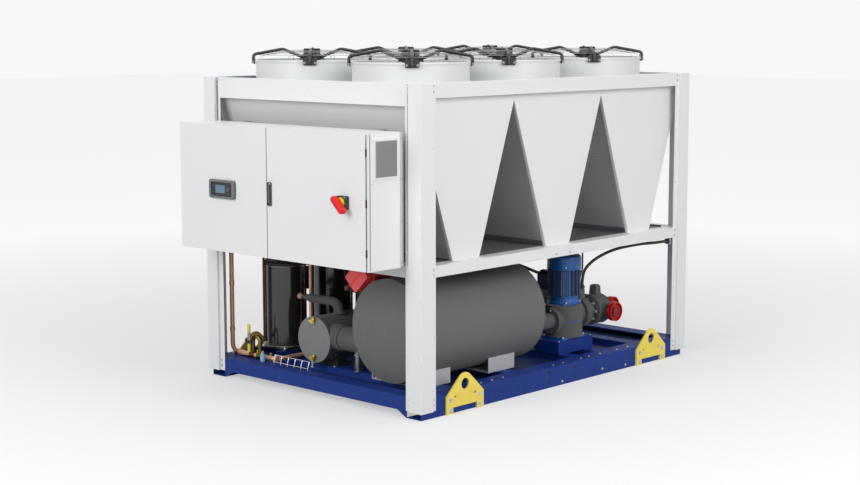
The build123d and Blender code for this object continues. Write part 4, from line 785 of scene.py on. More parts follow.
class CHILLER_OT_cabinet(Build, bpy.types.Operator):
    """Adds the cabinet's screws, seals, hinge sleeves and the ribs of its vent"""

    bl_idname = "chiller.cabinet"
    bl_label = "Cabinet shell"

    def execute(self, context):
        screws = Shape()
        for z in (1933, 1653, 1373, 1093):
            for sx, x in ((1, 972), (-1, -985)):
                screws.screw(at(x, -1592, z), X * sx)
                screws.screw(at(x, -1872, z - 12), X * sx)
        screws.finish("cabinet_screws", "bolt", "steel")
        strips = Shape()
        for x in (-979, 966):
            strips.block(at(x - 1.5, -1613, 1062), at(x + 1.5, -1609.5, 1966))
        strips.block(at(-975, -1886.5, 1062), at(962, -1884, 1070))
        strips.block(at(-975, -1886.5, 1958), at(962, -1884, 1966))
        strips.block(at(-30.6, -1919.6, 1056), at(-29.9, -1890, 1972))
        seal = Shape()
        seal.block(at(968.6, -1899, 1060), at(972.4, -1889, 1968))
        seal.finish("door_seal", "seal", "black_plastic", bevel=0.0006)
        for y in (-1606.6, -1583.6):
            strips.block(at(971.9, y, 1056), at(972.3, y + 1.6, 1972))
        strips.finish("cabinet_seals", "rubber", "black_plastic")
        covers = Shape()
        low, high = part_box("door_hinges")
        middle = (low + high) / 2
        for z in (1.179, 1.512, 1.849):
            covers.turned(Vector((middle.x, middle.y, z - 0.025)), Z,
                          [(0.0070, 0), (0.0094, 0.002), (0.0094, 0.016), (0.0086, 0.0165),
                           (0.0086, 0.0175), (0.0094, 0.018), (0.0094, 0.032), (0.0086, 0.0325),
                           (0.0086, 0.0335), (0.0094, 0.034), (0.0094, 0.048), (0.0070, 0.050)], 28)
        covers.finish("hinge_sleeves", "rubber", "black_casting", "door")
        low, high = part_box("vent_grille")
        middle = (low + high) / 2
        ribs = Shape()
        waves = [(-0.099 + 0.198 * i / 96, 0.0048 + 0.0044 * math.sin(2 * math.pi * i / 8))
                 for i in range(97)]
        outline = waves + [(u, 0.0002) for u, v in reversed(waves[::8])]
        ribs.slab(outline, Vector((high.x, middle.y, middle.z + 0.119)), Y, X, 0.238)
        ribs.finish("vent_ribs", "vent", "guard_wire", soft_angle=60)
        plate = Shape()
        for w, h, u, v in ((0.018, 0.274, -0.110, 0), (0.018, 0.274, 0.110, 0),
                           (0.2, 0.016, 0, -0.129), (0.2, 0.016, 0, 0.129)):
            plate.slab([(u - w / 2, v - h / 2), (u + w / 2, v - h / 2), (u + w / 2, v + h / 2),
                        (u - w / 2, v + h / 2)], Vector((high.x, middle.y, middle.z)), Y,
                       Z, 0.0014)
        plate.finish("vent_frame", "white", "white_paint", bevel=0.0005)
        return {"FINISHED"}


class CHILLER_OT_controls(Build, bpy.types.Operator):
    """Adds the controller's window and keys, and dresses the isolator and the latch"""

    bl_idname = "chiller.controls"
    bl_label = "Controls"

    def execute(self, context):
        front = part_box("controller")[0].y + 0.007
        bezel = Shape()
        outer, inner = rounded(0.2785, 0.1355, 0.020), rounded(0.228, 0.101, 0.008)
        centre = Vector((-0.499, front - 0.0005, 1.511))
        verts = []
        for depth, share in ((0.012, 0.0), (0.0, 0.0), (-0.0035, 0.5), (-0.0035, 1.0),
                             (0.003, 1.0)):
            for (u, v), (p, q) in zip(outer, inner):
                verts.append(centre + Vector((u + (p - u) * share, depth, v + (q - v) * share)))
        bezel.solid(verts, skin(5, len(outer), closed=False))
        bezel.finish("controller_bezel", "bezel", "display_case", soft_angle=50)
        window = Shape()
        window.slab(rounded(0.104, 0.058, 0.003), Vector((-0.513, front + 0.0012, 1.511)),
                    X, Z, 0.0016)
        window.finish("controller_display", "screen", "display_case")
        keys = Shape()
        keys.turned(Vector((-0.424, front + 0.001, 1.511)), -Y,
                    [(0.0175, 0), (0.0175, 0.0015), (0.0155, 0.003), (0.0150, 0.0075),
                     (0.0125, 0.0092), (0.006, 0.0084)], 36)
        for dz in (-0.031, 0.031):
            keys.turned(Vector((-0.424, front + 0.001, 1.511 + dz)), -Y,
                        [(0.007, 0), (0.0068, 0.002), (0.005, 0.0028)], 24)
        for i in range(3):
            keys.turned(Vector((-0.592, front + 0.001, 1.491 + 0.02 * i)), -Y,
                        [(0.005, 0), (0.0048, 0.0018), (0.003, 0.0024)], 20)
        keys.finish("controller_keys", "grip", "black_plastic")
        hub = Vector((0.753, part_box("isolator_base")[0].y, 1.507))
        disc = Shape()
        disc.turned(hub + Y * 0.0045, -Y,
                    [(0.0385, 0), (0.0385, 0.002), (0.037, 0.0040), (0.034, 0.0048),
                     (0.0095, 0.0048)], 48)
        disc.finish("isolator_disc", "yellow_plastic", "black_plastic", "door")
        rim = Shape()
        for dx, dz in corners(0.037, 0.037):
            rim.screw(hub + Vector((dx, 0.0042, dz)), -Y, 0.004)
        rim.finish("isolator_screws", "bolt", "steel", "door")
        self.handle(hub)
        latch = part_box("door_handle_plate")[0].y
        lock = Shape()
        lock.turned(Vector((0.008, latch + 0.0085, 1.5815)), -Y,
                    [(0.0085, 0), (0.0085, 0.0035), (0.007, 0.0048), (0.004, 0.0048)], 28)
        lock.finish("latch_lock", "silver", "steel", "door")
        return {"FINISHED"}

    def handle(self, hub):
        """The red bar: a deep grip with six-sided ends on a round stem."""
        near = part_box("isolator_handle")[0].y
        far = near + 0.044
        down = Vector((math.sqrt(0.5), 0, -math.sqrt(0.5)))
        side = Vector((math.sqrt(0.5), 0, math.sqrt(0.5)))
        grip = Shape()
        half = [(-0.0578, 0.0095), (-0.047, 0.0212), (-0.020, 0.0205), (0.045, 0.0205),
                (0.077, 0.0215), (0.0878, 0.0100)]
        outline = [(u, -v) for u, v in half] + half[::-1]
        rows = [(far, 0.95), (far - 0.005, 1.0), (near + 0.012, 0.98), (near + 0.003, 0.92),
                (near, 0.84)]
        verts = []
        for depth, size in rows:
            for u, v in outline:
                spot = hub + down * (0.015 + (u - 0.015) * (0.4 + 0.6 * size)) + side * v * size
                verts.append(Vector((spot.x, depth, spot.z)))
        grip.solid(verts, skin(len(rows), len(outline)))
        piece = grip.finish("isolator_grip", "red", "red_plastic", "isolator_handle",
                            soft_angle=60, bevel=0.0018)
        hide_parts("isolator_handle")
        stem = Shape()
        stem.turned(Vector((hub.x, far + 0.020, hub.z)), -Y,
                    [(0.0068, 0), (0.0068, 0.016), (0.0125, 0.0165), (0.0125, 0.0205)], 28)
        stem.finish("isolator_stem", "case", "black_plastic", "isolator_handle")


class CHILLER_OT_switchgear(Build, bpy.types.Operator):
    """Fills the cabinet with wiring ducts, breakers, contactors and terminals"""

    bl_idname = "chiller.switchgear"
    bl_label = "Switchgear"

    def execute(self, context):
        low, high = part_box("mounting_plate")
        face = low.y
        plate = low.y + 0.008
        light, dark, duct, metal = Shape(), Shape(), Shape(), Shape()
        rows = [low.z + 0.060 + 0.2267 * i for i in range(4)]
        for z in [r + 0.1135 for r in rows[:3]]:
            duct.block((low.x + 0.03, plate - 0.058, z - 0.027), (high.x - 0.03, plate, z + 0.027))
            duct.block((low.x + 0.028, plate - 0.063, z - 0.029),
                       (high.x - 0.028, plate - 0.058, z + 0.029))
        x = low.x + 0.09
        step = 0
        while x < high.x - 0.16:
            for row, z in enumerate(rows):
                # Mixes seven kinds of device, one of them an empty place
                kind = (step * 3 + row * 5) % 7
                if row == 3 and kind < 4:
                    wide, tall, deep = 0.085, 0.12, 0.100
                elif row == 0:
                    wide, tall, deep = 0.09, 0.062, 0.046
                elif kind in (1, 4):
                    wide, tall, deep = 0.072, 0.095, 0.084
                else:
                    wide, tall, deep = 0.054, 0.088, 0.070
                target = light if (kind + row) % 3 else dark
                if kind == 6 and row:
                    continue
                target.block((x, face - deep, z - tall / 2),
                             (x + wide, face - 0.0005, z + tall / 2))
                if row == 0:
                    for k in range(9):
                        dark.block((x + 0.004 + 0.0095 * k, face - deep - 0.003, z - 0.024),
                                   (x + 0.0105 + 0.0095 * k, face - deep, z + 0.024))
                else:
                    dark.block((x + wide * 0.3, face - deep - 0.009, z - 0.012),
                               (x + wide * 0.7, face - deep, z + 0.012))
                    for k in range(3):
                        for dz in (-tall / 2 + 0.010, tall / 2 - 0.010):
                            metal.turned(Vector((x + wide * (0.2 + 0.3 * k), face - deep, z + dz)),
                                         -Y, [(0.0042, 0), (0.0042, 0.001), (0.003, 0.0018)],
                                         12)
            x += 0.104
            step += 1
        light.finish("breakers", "light_plastic", "black_plastic", bevel=0.0012)
        dark.finish("contactors", "case", "black_plastic", bevel=0.0008)
        duct.finish("wiring_ducts", "duct", "grey_paint", bevel=0.001)
        metal.finish("terminal_screws", "bolt", "steel")
        return {"FINISHED"}


class CHILLER_OT_tank(Build, bpy.types.Operator):
    """Adds the tank's jacket rims, drain leg and saddle bolts, and the vessel's seam"""

    bl_idname = "chiller.tank"
    bl_label = "Tank and vessel"

    def execute(self, context):
        seams = Shape()
        for y in (-1376, -98):
            seams.loop(at(TANK_X, y, TANK_Z), Y, 0.3715, 0.0028, 128, 8)
        weld = 372.6 * heading(math.radians(118))
        seams.tube([at(TANK_X + weld.x, y, TANK_Z + weld.y) for y in (-1372, -102)], 0.0022, 8)
        seams.finish("tank_seams", "tank", "tank_jacket")
        bits = Shape()
        for y in (-1167.5, -452.5):
            for dy, dx in corners(120, 225):
                bits.bolt(at(TANK_X + dx, y + dy, 158), Z, 0.019, 0.010, 0.016)
        bits.finish("saddle_bolts", "bolt", "steel")
        leg = Shape()
        leg.turned(at(145, -1206, 150), Z,
                   [(0.036, 0), (0.036, 0.006), (0.024, 0.008), (0.024, 0.120), (0.030, 0.122),
                    (0.030, 0.134), (0.024, 0.136), (0.024, 0.147)], 36)
        leg.finish("link_leg", "steel", "steel")
        low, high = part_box("expansion_vessel")
        middle = (low + high) / 2
        seam = Shape()
        for y in (low.y + 0.070, low.y + 0.076):
            seam.loop(Vector((middle.x, y, middle.z)), Y, (high.x - low.x) / 2 + 0.0004,
                      0.0022, 96, 8)
        seam.finish("vessel_seam", "vessel", "vessel_red")
        return {"FINISHED"}


class CHILLER_OT_evaporator(Build, bpy.types.Operator):
    """Adds the evaporator's end covers, jacket seams, valves and foot bolts"""

    bl_idname = "chiller.evaporator"
    bl_label = "Evaporator"

    def execute(self, context):
        low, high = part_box("evaporator")
        covers = Shape()
        for y, out in ((low.y, -1), (high.y, 1)):
            covers.turned(Vector((EVAPORATOR_X / 1000, y, EVAPORATOR_Z / 1000)), Y * out,
                          [(0.1735, 0), (0.1735, 0.0016), (0.172, 0.0028), (0.090, 0.0034)], 72)
        covers.finish("evaporator_covers", "cover", "insulation")
        seams = Shape()
        for y in (-1040, -560, -80, 400, 800):
            seams.loop(at(EVAPORATOR_X, y, EVAPORATOR_Z), Y, 0.1702, 0.0016, 96, 6)
        lap = 170.3 * heading(2.3)
        seams.tube([at(EVAPORATOR_X + lap.x, y, EVAPORATOR_Z + lap.y) for y in (-1280, 880)],
                   0.0016, 6)
        seams.loop(at(-8, -1216, 385), X, 0.0955, 0.003, 56, 8)
        seams.finish("evaporator_seams", "foam", "insulation")
        taps, drain = Shape(), Shape()
        middle = Vector((EVAPORATOR_X / 1000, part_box("drain_valves")[0].y, 0))
        for z in (0.218, 0.498):
            taps.turned(middle + Vector((0, 0.016, z)), -Y,
                        [(0.014, 0), (0.016, 0.002), (0.016, 0.008), (0.009, 0.010)], 6)
            for dx, dz in ((-0.017, 0.004), (0.017, 0.018)):
                taps.turned(middle + Vector((dx, 0.030, z + dz)), -Y,
                            [(0.010, 0.0), (0.012, 0.003), (0.012, 0.026), (0.009, 0.029)], 20)
        taps.finish("drain_valve_taps", "brass", "brass")
        drain.tube([middle + Vector((0, 0.012, z)) for z in (0.206, 0.1505)], 0.0065, 12)
        drain.turned(middle + Vector((0, 0.012, 0.1503)), Z,
                     [(0.011, 0), (0.011, 0.008), (0.007, 0.010)], 20)
        drain.finish("drain_tail", "light_plastic", "black_plastic")
        bolts = Shape()
        for y in (-1208, 610):
            for sx in (-1, 1):
                bolts.bolt(at(EVAPORATOR_X + sx * 112, y, 150), Z, 0.017, 0.009, 0.014)
        bolts.finish("evaporator_bolts", "bolt", "steel")
        return {"FINISHED"}


class CHILLER_OT_compressors(Build, bpy.types.Operator):
    """Adds the compressors' glossy shells, caps, boxes, mounts, conduits and risers"""

    bl_idname = "chiller.compressors"
    bl_label = "Compressors"

    def execute(self, context):
        shells, rims, caps = Shape(), Shape(), Shape()
        boxes, feet, risers, nuts = Shape(), Shape(), Shape(), Shape()
        radius, shoulder, dome = 0.1637, 0.8500, 0.0262
        shell = [(radius, 0.2165), (radius, 0.236), (0.1652, 0.2375), (0.1652, 0.242),
                 (radius, 0.2435), (radius, shoulder)]
        shell += [(radius * math.cos(t), shoulder + dome * math.sin(t))
                  for t in (math.pi / 2 * i / 10 for i in range(1, 10))]
        for y in COMPRESSOR_ROWS:
            spot = at(COMPRESSOR_X, y, 0)
            shells.turned(spot, Z, shell, 128)
            rims.turned(spot + Z * 0.2170, Z,
                        [(0.164, 0), (0.1705, 0.001), (0.1705, 0.009), (0.1665, 0.012)], 96)
            rims.turned(spot + Z * 0.8405, Z,
                        [(0.1638, 0), (0.1655, 0.001), (0.1655, 0.0045), (0.1638, 0.0055)], 96)
            caps.turned(spot + Z * 0.8475, Z,
                        [(0.1640, 0), (0.1668, 0.001), (0.1668, 0.020), (0.160, 0.0285),
                         (0.050, 0.0335), (0.044, 0.046), (0.030, 0.050)], 96)
            turn = spun(spot, math.radians(82))
            boxes.block((0.150, -0.070, 0.640), (0.205, 0.070, 0.820), turn)
            boxes.block((0.205, -0.074, 0.636), (0.211, 0.074, 0.824), turn)
            for dx, dy in corners(120, 120):
                foot = at(COMPRESSOR_X + dx, y + dy, 203)
                feet.bolt(foot, Z, 0.018, 0.012, 0.016)
                feet.turned(foot, Z, [(0.006, 0.008), (0.006, 0.024)], 12)
            out = Vector((-75.5, -156, 0)).normalized()
            pipe = spot + out * 0.1735
            risers.tube([pipe + Z * z for z in (0.262, 0.7, 1.0555)], 0.009, 14)
            nuts.turned(spot + out * 0.160 + Z * 0.262, out,
                        [(0.016, 0), (0.016, 0.018), (0.013, 0.026), (0.007, 0.029)], 24)
            nuts.turned(pipe + Z * 1.0435, Z,
                        [(0.013, 0), (0.017, 0.003), (0.017, 0.0125)], 24)
            caps.tube([spot + Vector(p) for p in (
                (0, 0, 0.893), (0.02, -0.01, 0.906), (0.06, -0.03, 0.910), (0.22, -0.095, 0.910),
                (0.27, -0.105, 0.918), (0.296, -0.108, 0.945), (0.300, -0.108, 0.985),
                (0.300, -0.108, 1.0555))], 0.015, 16)
            caps.turned(spot + Vector((0.300, -0.108, 1.0385)), Z,
                        [(0.017, 0), (0.022, 0.003), (0.022, 0.0175)], 24)
        shells.finish("compressor_shells", "compressor", "compressor_black", soft_angle=25)
        rims.finish("compressor_rims", "steel", "steel")
        caps.finish("compressor_caps", "rubber", "black_plastic")
        boxes.finish("compressor_boxes", "compressor", "compressor_black", bevel=0.002)
        feet.finish("compressor_feet", "bolt", "steel")
        risers.finish("discharge_risers", "dull_copper", "copper")
        nuts.finish("riser_fittings", "case", "black_plastic")
        return {"FINISHED"}


class CHILLER_OT_copper(Build, bpy.types.Operator):
    """Adds sleeves, clips, fittings, capillary pipes and the suction pipes' insulation"""

    bl_idname = "chiller.copper"
    bl_label = "Copper work"

    def execute(self, context):
        sleeves, clips, tubes, brass = Shape(), Shape(), Shape(), Shape()
        band = [(0.0176, 0), (0.0205, 0.001), (0.0205, 0.032), (0.0176, 0.033)]
        for z in (690, 330, 930):
            sleeves.turned(at(-1045, COPPER_Y, z), Z, band, 28)
        for x in (-930, -560):
            sleeves.turned(at(x, COPPER_Y, 175), X, band, 28)
        for y in COMPRESSOR_ROWS:
            sleeves.turned(at(COMPRESSOR_X + 163, y, 610), X,
                           [(0.024, 0.0), (0.024, 0.010), (0.0185, 0.014), (0.0185, 0.030)], 28)
            sleeves.turned(at(-953, y, 245), -X,
                           [(0.018, 0), (0.018, 0.008), (0.0135, 0.011), (0.0135, 0.022)], 24)
        sleeves.finish("copper_sleeves", "copper", "copper")
        for x in (-985, -590):
            clips.block(at(x - 12, -1420, 150.2), at(x + 12, -1414, 180))
            clips.tube(arc(at(x, COPPER_Y, 175), -Y, Z, 0.0195, 0, 180, 12), 0.0022, 8)
        clips.finish("pipe_clips", "steel", "steel")
        for y, z in ((-1440, 164), (-1424, 214)):
            tubes.tube([at(-530, y, z), at(-140, y, z)], 0.0034, 8)
        for i in range(6):
            x = -522 + 75 * i
            tubes.tube([at(x, -1440, 150.3), at(x, -1440, 164), at(x, -1424, 214)], 0.0034, 8)
        tubes.tube([at(-530, -1424, 214), at(-530, -1404, 214), at(-530, -1404, 193)], 0.0034, 8)
        tubes.finish("capillary_ladder", "capillary", "steel")
        for x in (-752, -694, -600):
            brass.turned(at(x, COPPER_Y, 190), Z,
                         [(0.009, 0), (0.009, 0.010), (0.006, 0.012), (0.006, 0.020),
                          (0.008, 0.021), (0.008, 0.027)], 16)
        low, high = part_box("filter_drier")
        brass.turned(Vector(((low.x + high.x) / 2, (low.y + high.y) / 2, high.z - 0.012)), Z,
                     [(0.0125, 0), (0.0125, 0.008), (0.009, 0.010), (0.009, 0.0115)], 6)
        brass.finish("line_fittings", "brass", "brass")
        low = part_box("service_valve")[0]
        x = -0.806
        lever, grey, cuffs = Shape(), Shape(), Shape()
        for target, bottom, top in ((lever, 0.352, 0.417), (lever, 0.203, 0.262),
                                    (grey, 0.2625, 0.3515)):
            for y in (low.y - 0.0007, low.y + 0.0058):
                target.slab(rounded(0.028, top - bottom, 0.005),
                            Vector((x, y, (bottom + top) / 2)), X, Z, 0.0016)
        for y in COMPRESSOR_ROWS:
            bend = arc(at(-253, y, 540), Z, X, 0.070, 0, 90, 8)
            cuffs.tube([at(-508, y, 610)] + bend + [at(-183, y, 528)], 0.0325, 20)
            cuffs.turned(at(-183, y, 528.5), Z,
                         [(0.036, 0), (0.046, 0.001), (0.047, 0.004), (0.043, 0.012),
                          (0.036, 0.016)], 24)
        cuffs.finish("suction_insulation", "foam", "insulation")
        lever.finish("lever_sleeve", "lemon", "yellow_paint", bevel=0.0006)
        grey.finish("lever_middle", "vent", "steel", bevel=0.0006)
        nut = Shape()
        nut.bolt(Vector((x, low.y - 0.0022, 0.280)), -Y, 0.019, 0.010, 0.013)
        nut.finish("lever_nut", "case", "black_plastic")
        plug = Shape()
        plug.turned(Vector((low.x, at(0, COPPER_Y, 0).y, 0.280)), -X,
                    [(0.021, 0), (0.021, 0.002), (0.018, 0.004), (0.012, 0.0045)], 8, 0.39)
        plug.finish("valve_plug", "cream", "brass", soft_angle=20)
        return {"FINISHED"}


class CHILLER_OT_pump(Build, bpy.types.Operator):
    """Dresses the pump: fan cover, flange, fins, terminal box, lever and seams"""

    bl_idname = "chiller.pump"
    bl_label = "Pump"

    def execute(self, context):
        low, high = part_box("pump_motor")
        centre = at(PUMP_X, PUMP_Y, 0)
        top = high.z
        cover = Shape()
        cover.turned(centre + Z * (top - 0.1095), Z,
                     [(0.1325, 0), (0.1335, 0.002), (0.1335, 0.092), (0.1290, 0.104),
                      (0.118, 0.1105), (0.040, 0.1112)], 96)
        cover.turned(centre + Z * (low.z + 0.0003), Z,
                     [(0.112, 0), (0.1135, 0.002), (0.1135, 0.014), (0.109, 0.017),
                      (0.1065, 0.030), (0.1065, 0.054), (0.112, 0.060), (0.112, 0.0715)], 96)
        for spin in (spun(centre, turn) for turn in DIAGONALS):
            cover.block((0.095, -0.020, low.z + 0.0005), (0.134, 0.020, low.z + 0.0165), spin)
            cover.block((0.095, -0.006, low.z + 0.0165), (0.116, 0.006, low.z + 0.060), spin)
        cover.finish("motor_covers", "bright", "pump_blue")
        fins, highlight_ribs = Shape(), Shape()
        for k in range(40):
            turn = 2 * math.pi * (k + 0.5) / 40
            beside_box = abs(math.sin(turn)) < 0.5 and math.cos(turn) < 0
            if not beside_box:
                fins.block((0.112, -0.0016, low.z + 0.0745), (0.1288, 0.0016, top - 0.113),
                           spun(centre, turn))
        fins.finish("motor_fins", "navy", "pump_blue")
        # Five lighter ribs where the motor faces the camera: painted highlight
        spin = spun(centre, math.radians(-47))
        for dy in (-0.030, -0.015, 0.0, 0.015, 0.030):
            highlight_ribs.block((0.115, dy - 0.005, low.z + 0.080), (0.1322, dy + 0.005, top - 0.118), spin)
        highlight_ribs.finish("motor_highlight_ribs", "highlight_ribs", "pump_blue", bevel=0.0008)
        slots = Shape()
        for r in (0.035, 0.055, 0.075, 0.095):
            slots.loop(centre + Z * (top + 0.0012), Z, r, 0.0024, 48, 6)
        for k in range(6):
            out = heading(k * math.pi / 3)
            slots.tube([centre + Z * (top + 0.0012) + out * r for r in (0.012, 0.098)],
                       0.0022, 6)
        slots.finish("motor_grille", "navy", "pump_blue")
        bolts = Shape()
        for out in map(heading, DIAGONALS):
            bolts.bolt(centre + out * 0.1225 + Z * (low.z + 0.0165), Z, 0.015, 0.010,
                       0.011)
            bolts.screw(centre + out * 0.1335 + Z * (top - 0.085), out, 0.006)
        for dx, dy in corners(92, 128):
            bolts.bolt(at(PUMP_X + dx, PUMP_Y + dy, 266.6), Z, 0.017, 0.010, 0.014)
        for dx, dy in corners(108, 196):
            bolts.bolt(at(PUMP_X + dx, PUMP_Y + dy, 250), Z, 0.015, 0.008, 0.012)
        bolts.finish("pump_bolts", "bolt", "steel")
        foot = Shape()
        foot.slab(rounded(0.220, 0.294, 0.020), at(PUMP_X, PUMP_Y, 250.3), X, Y, 0.0164)
        foot.finish("pump_foot_plate", "bright", "pump_blue", bevel=0.0015)
        box = Shape()
        box.block((low.x - 0.0035, centre.y - 0.058, low.z + 0.094),
                  (low.x + 0.010, centre.y + 0.058, low.z + 0.220))
        box.block((0.527, centre.y - 0.042, low.z + 0.2168),
                  (0.603, centre.y + 0.040, low.z + 0.246))
        for dy in (-0.045, 0.045):
            for dz in (0.104, 0.210):
                spot = Vector((low.x - 0.0035, centre.y + dy, low.z + dz))
                box.screw(spot, -X, 0.005)
        box.finish("terminal_lid", "navy", "pump_blue", bevel=0.002)
        line = Shape()
        line.loop(at(PUMP_X, PUMP_Y, 391), Z, 0.1462, 0.0024, 128, 6)
        line.finish("volute_line", "bright", "pump_blue")
        seam = Shape()
        seam.loop(at(PUMP_X, PUMP_Y, 268.6), Z, 0.1462, 0.0030, 128, 6)
        seam.loop(at(PUMP_X, 297, 400), Y, 0.0952, 0.0026, 64, 6)
        seam.finish("volute_seams", "foam", "insulation")
        lever, nut = Shape(), Shape()
        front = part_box("pump_body")[0].y
        lever.block((0.700, front - 0.012, 0.477), (0.772, front, 0.490))
        lever.turned(Vector((0.757, front, 0.4835)), -Y, [(0.011, 0), (0.011, 0.014)], 20)
        lever.finish("vent_lever", "case", "black_plastic", bevel=0.001)
        nut.bolt(Vector((0.757, front - 0.014, 0.4835)), -Y, 0.012, 0.007, 0.0095)
        nut.finish("vent_nut", "bolt", "steel")
        plug = Shape()
        out = Vector((-0.66, -0.75, 0)).normalized()
        plug.turned(centre + out * 0.103 + Z * 0.566, out,
                    [(0.010, 0), (0.010, 0.014), (0.007, 0.016), (0.007, 0.024)], 6)
        plug.finish("motor_plug", "brass", "brass")
        return {"FINISHED"}


class CHILLER_OT_water_pipes(Build, bpy.types.Operator):
    """Adds jacket seams, flange nuts, end bands and painted shade discs for the caps' recesses"""

    bl_idname = "chiller.water_pipes"
    bl_label = "Water pipes"

    def execute(self, context):
        seams, nuts, bands, recess = Shape(), Shape(), Shape(), Shape()
        for y in (650, 690, 800, 930):
            seams.loop(at(PUMP_X, y, WATER_Z), Y, 0.1186, 0.0024, 80, 6)
        lap = 118.6 * heading(2.2)
        seams.tube([at(PUMP_X + lap.x, y, WATER_Z + lap.y) for y in (790, 934)], 0.002, 6)
        for x in (-150, 150, 450):
            seams.loop(at(x, 1070, WATER_Z), X, 0.0665, 0.0022, 56, 6)
        seams.finish("jacket_seams", "foam", "insulation")
        low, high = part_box("pipe_flanges")
        mid_x, mid_z = (low.x + high.x) / 2, (low.z + high.z) / 2
        for k in range(8):
            a = 2 * math.pi * k / 8
            spot = Vector((mid_x + 0.087 * math.cos(a), 0, mid_z + 0.087 * math.sin(a)))
            for y, way in ((low.y + 0.0140, 1), (high.y - 0.0140, -1)):
                nuts.bolt(spot + Y * y, Y * way, 0.0185, 0.012, 0.0125)
        nuts.finish("flange_nuts", "bolt", "steel")
        for x, y, face in ((887, 873.3, 0.9553), (697, 1070, 0.7795)):
            bands.turned(at(x, y, WATER_Z), X,
                         [(0.0665, 0), (0.0685, 0.0015), (0.0685, 0.016), (0.0665, 0.0175)], 56)
            # A darker red disc on each cap's face: painted shade for its recess
            recess.turned(Vector((face, at(0, y, 0).y, 0.422)), X,
                          [(0.044, -0.001), (0.044, 0.0004), (0.041, 0.0009), (0.030, 0.0010)], 56)
        bands.finish("pipe_end_bands", "steel", "steel")
        recess.finish("cap_recesses", "recess", "red_plastic")
        return {"FINISHED"}


class CHILLER_OT_cables(Build, bpy.types.Operator):
    """Lays the two hanging cables between their glands, and a rigid conduit"""

    bl_idname = "chiller.cables"
    bl_label = "Cables"

    def execute(self, context):
        thick = context.scene.chiller_sizes.cable
        thin = thick * 0.55
        glands = Shape()
        cone = [(1.05, 0), (1.05, 0.20), (0.84, 0.25), (0.78, 0.50), (0.56, 0.95), (0.52, 1.05)]
        for place, axis, diameter in (((1068, 1391, 948), -Y, thick),
                                      ((762, 672, 620), Z, thick),
                                      ((737, 652, 620), Z, thin),
                                      ((783, 646, 1056), -Z, thin),
                                      ((250, 86, 1059), -Z, thick),
                                      ((562, 431, 748), -Y, thick)):
            glands.turned(at(*place), axis, [(r * diameter, h * diameter) for r, h in cone], 28)
        run = [at(737, 652, 622)] + arc(at(761, 652, 700), -X, Z, 0.024, 0, -60, 4)
        run += [at(*p) for p in ((768, 651, 742), (778, 649, 762), (783, 647, 790),
                                 (783, 646, 1055.5))]
        glands.tube(run, thin / 2, 12)
        plate = Shape()
        plate.block(at(1042, 1391, 922), at(1094, 1396, 975.8))
        plate.finish("gland_plate", "white", "white_paint", bevel=0.0008)
        glands.finish("cable_glands", "rubber", "black_plastic")
        self.cable("pump_cable", [(762, 672, 645), (762, 676, 730), (782, 722, 800),
                                  (822, 815, 862), (878, 950, 912), (968, 1155, 938),
                                  (1030, 1212, 944), (1066, 1285, 948), (1068, 1366, 948)], thick)
        self.cable("tank_cable", [(562, 406, 748), (562, 370, 750), (540, 335, 768),
                                  (470, 288, 802), (375, 216, 842), (285, 140, 882),
                                  (250, 92, 950), (250, 86, 1034)], thick)
        return {"FINISHED"}

    def cable(self, name, places, diameter):
        """A bendy cable along a few given points, from one gland to another."""
        data = bpy.data.curves.new(name, "CURVE")
        data.dimensions = "3D"
        data.bevel_depth = diameter / 2
        data.bevel_resolution = 5
        data.resolution_u = 14
        spline = data.splines.new("NURBS")
        spline.points.add(len(places) - 1)
        for point, place in zip(spline.points, places):
            point.co = (*at(*place), 1.0)
        spline.order_u = 3
        spline.use_endpoint_u = True
        data.materials.append(finishes["cable"])
        piece = placed(name, data)
        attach(piece, BODY)


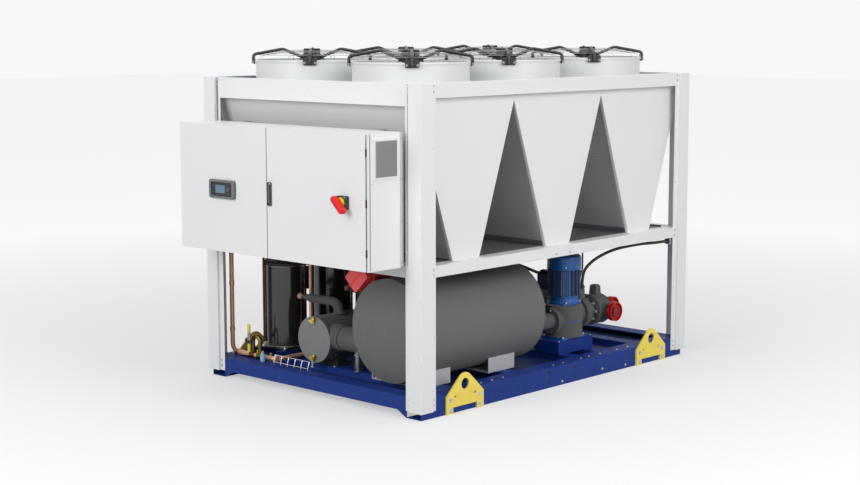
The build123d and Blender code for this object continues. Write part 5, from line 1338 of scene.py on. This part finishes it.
class CHILLER_OT_studio(Build, bpy.types.Operator):
    """Sets the floor, the lamps, the world and the camera"""

    bl_idname = "chiller.studio"
    bl_label = "Studio"

    def execute(self, context):
        scene = context.scene
        scene.view_settings.view_transform = "Standard"
        self.floor()
        self.world(scene)
        for name, spot, size, power in (("key lamp", (0.4, -11.5, 5.6), 6.0, 662),
                                        ("side lamp", (9.5, -0.9, 5.5), 5.0, 482),
                                        ("top lamp", (0.0, 0.0, 9.0), 6.0, 150)):
            lamp = bpy.data.lights.new(name, "AREA")
            lamp.energy = power
            lamp.size = size
            holder = placed(name, lamp)
            holder.location = spot
            aim = Vector((0, 0, 1)) - Vector(spot)
            holder.rotation_euler = aim.to_track_quat("-Z", "Y").to_euler()
        data = bpy.data.cameras.new("camera")
        data.lens = 68.0
        data.sensor_width = 36
        data.clip_end = 300
        camera = placed("camera", data)
        camera.location = (8.5372, -9.4183 + MIDDLE_Y, 2.7053)
        turn, drop, roll = (math.radians(v) for v in (43.032, 7.749, 0.067))
        ahead = Vector((-math.sin(turn) * math.cos(drop), math.cos(turn) * math.cos(drop),
                        -math.sin(drop)))
        camera.rotation_mode = "QUATERNION"
        camera.rotation_quaternion = (ahead.to_track_quat("-Z", "Y")
                                      @ Matrix.Rotation(-roll, 3, "Z").to_quaternion())
        scene.camera = camera
        return {"FINISHED"}

    def floor(self):
        """A pale floor that takes shadows and glows evenly for the camera."""
        grid = bmesh.new()
        bmesh.ops.create_grid(grid, x_segments=8, y_segments=8, size=60)
        data = bpy.data.meshes.new("floor")
        grid.to_mesh(data)
        grid.free()
        floor = placed("floor", data)
        material = bpy.data.materials.new("studio floor")
        material.use_nodes = True
        tree = Nodes(material.node_tree)
        tree.nodes.clear()
        reach = tree.add("VectorMath")
        reach.operation = "LENGTH"
        tree.feed(reach.inputs[0], tree.add("TexCoord").outputs["Object"])
        fade = tree.span(reach.outputs["Value"], 2.5, 9.5, 0.47, 0.73)
        rays = tree.add("LightPath").outputs
        seen = tree.math("MAXIMUM", rays["Is Camera Ray"], rays["Is Glossy Ray"])
        lit = tree.add("BsdfDiffuse", Color=(0.42, 0.42, 0.425, 1))
        glow = tree.add("Emission", Color=(1, 1, 1, 1), Strength=tree.math("MULTIPLY", seen, fade))
        both = tree.add("AddShader")
        tree.feed(both.inputs[0], lit.outputs[0])
        tree.feed(both.inputs[1], glow.outputs[0])
        tree.add("OutputMaterial", Surface=both.outputs[0])
        data.materials.append(material)

    def world(self, scene):
        """A white world, dimmer as a light than as a background."""
        world = bpy.data.worlds.new("studio")
        scene.world = world
        world.use_nodes = True
        tree = Nodes(world.node_tree)
        rays = tree.add("LightPath").outputs
        seen = tree.math("MAXIMUM", rays["Is Camera Ray"], rays["Is Glossy Ray"])
        seen = tree.math("MAXIMUM", seen, rays["Is Transmission Ray"])
        back = tree.nodes["Background"].inputs
        tree.feed(back["Color"], (1, 1, 1, 1))
        tree.feed(back["Strength"], tree.span(seen, 0.0, 1.0, 0.40, 0.94))


OPERATORS = (CHILLER_OT_studio, CHILLER_OT_finishes, CHILLER_OT_fan_guards, CHILLER_OT_fan_motors,
             CHILLER_OT_frame_bolts, CHILLER_OT_modules, CHILLER_OT_cabinet,
             CHILLER_OT_controls, CHILLER_OT_switchgear, CHILLER_OT_tank,
             CHILLER_OT_evaporator, CHILLER_OT_compressors, CHILLER_OT_copper, CHILLER_OT_pump,
             CHILLER_OT_water_pipes, CHILLER_OT_cables)


class CHILLER_PT_sidebar(bpy.types.Panel):
    """Lists the builders in the sidebar"""

    bl_idname = "CHILLER_PT_sidebar"
    bl_label = "Water chiller"
    bl_space_type = "VIEW_3D"
    bl_region_type = "UI"
    bl_category = "Chiller"

    def draw(self, context):
        for group in (context.scene.chiller_sizes, context.scene.chiller_colours):
            for name in group.bl_rna.properties.keys():
                if name not in {"rna_type", "name"}:
                    self.layout.prop(group, name)
        for operator in OPERATORS:
            self.layout.operator(operator.bl_idname)


CLASSES = (ChillerSizes, ChillerColours, *OPERATORS, CHILLER_PT_sidebar)


def register():
    for item in CLASSES:
        bpy.utils.register_class(item)
    bpy.types.Scene.chiller_sizes = bpy.props.PointerProperty(type=ChillerSizes)
    bpy.types.Scene.chiller_colours = bpy.props.PointerProperty(type=ChillerColours)


def unregister():
    del bpy.types.Scene.chiller_colours
    del bpy.types.Scene.chiller_sizes
    for item in reversed(CLASSES):
        bpy.utils.unregister_class(item)


def main():
    register()
    for operator in OPERATORS:
        group, name = operator.bl_idname.split(".")
        getattr(getattr(bpy.ops, group), name)()


if __name__ == "__main__":
    main()
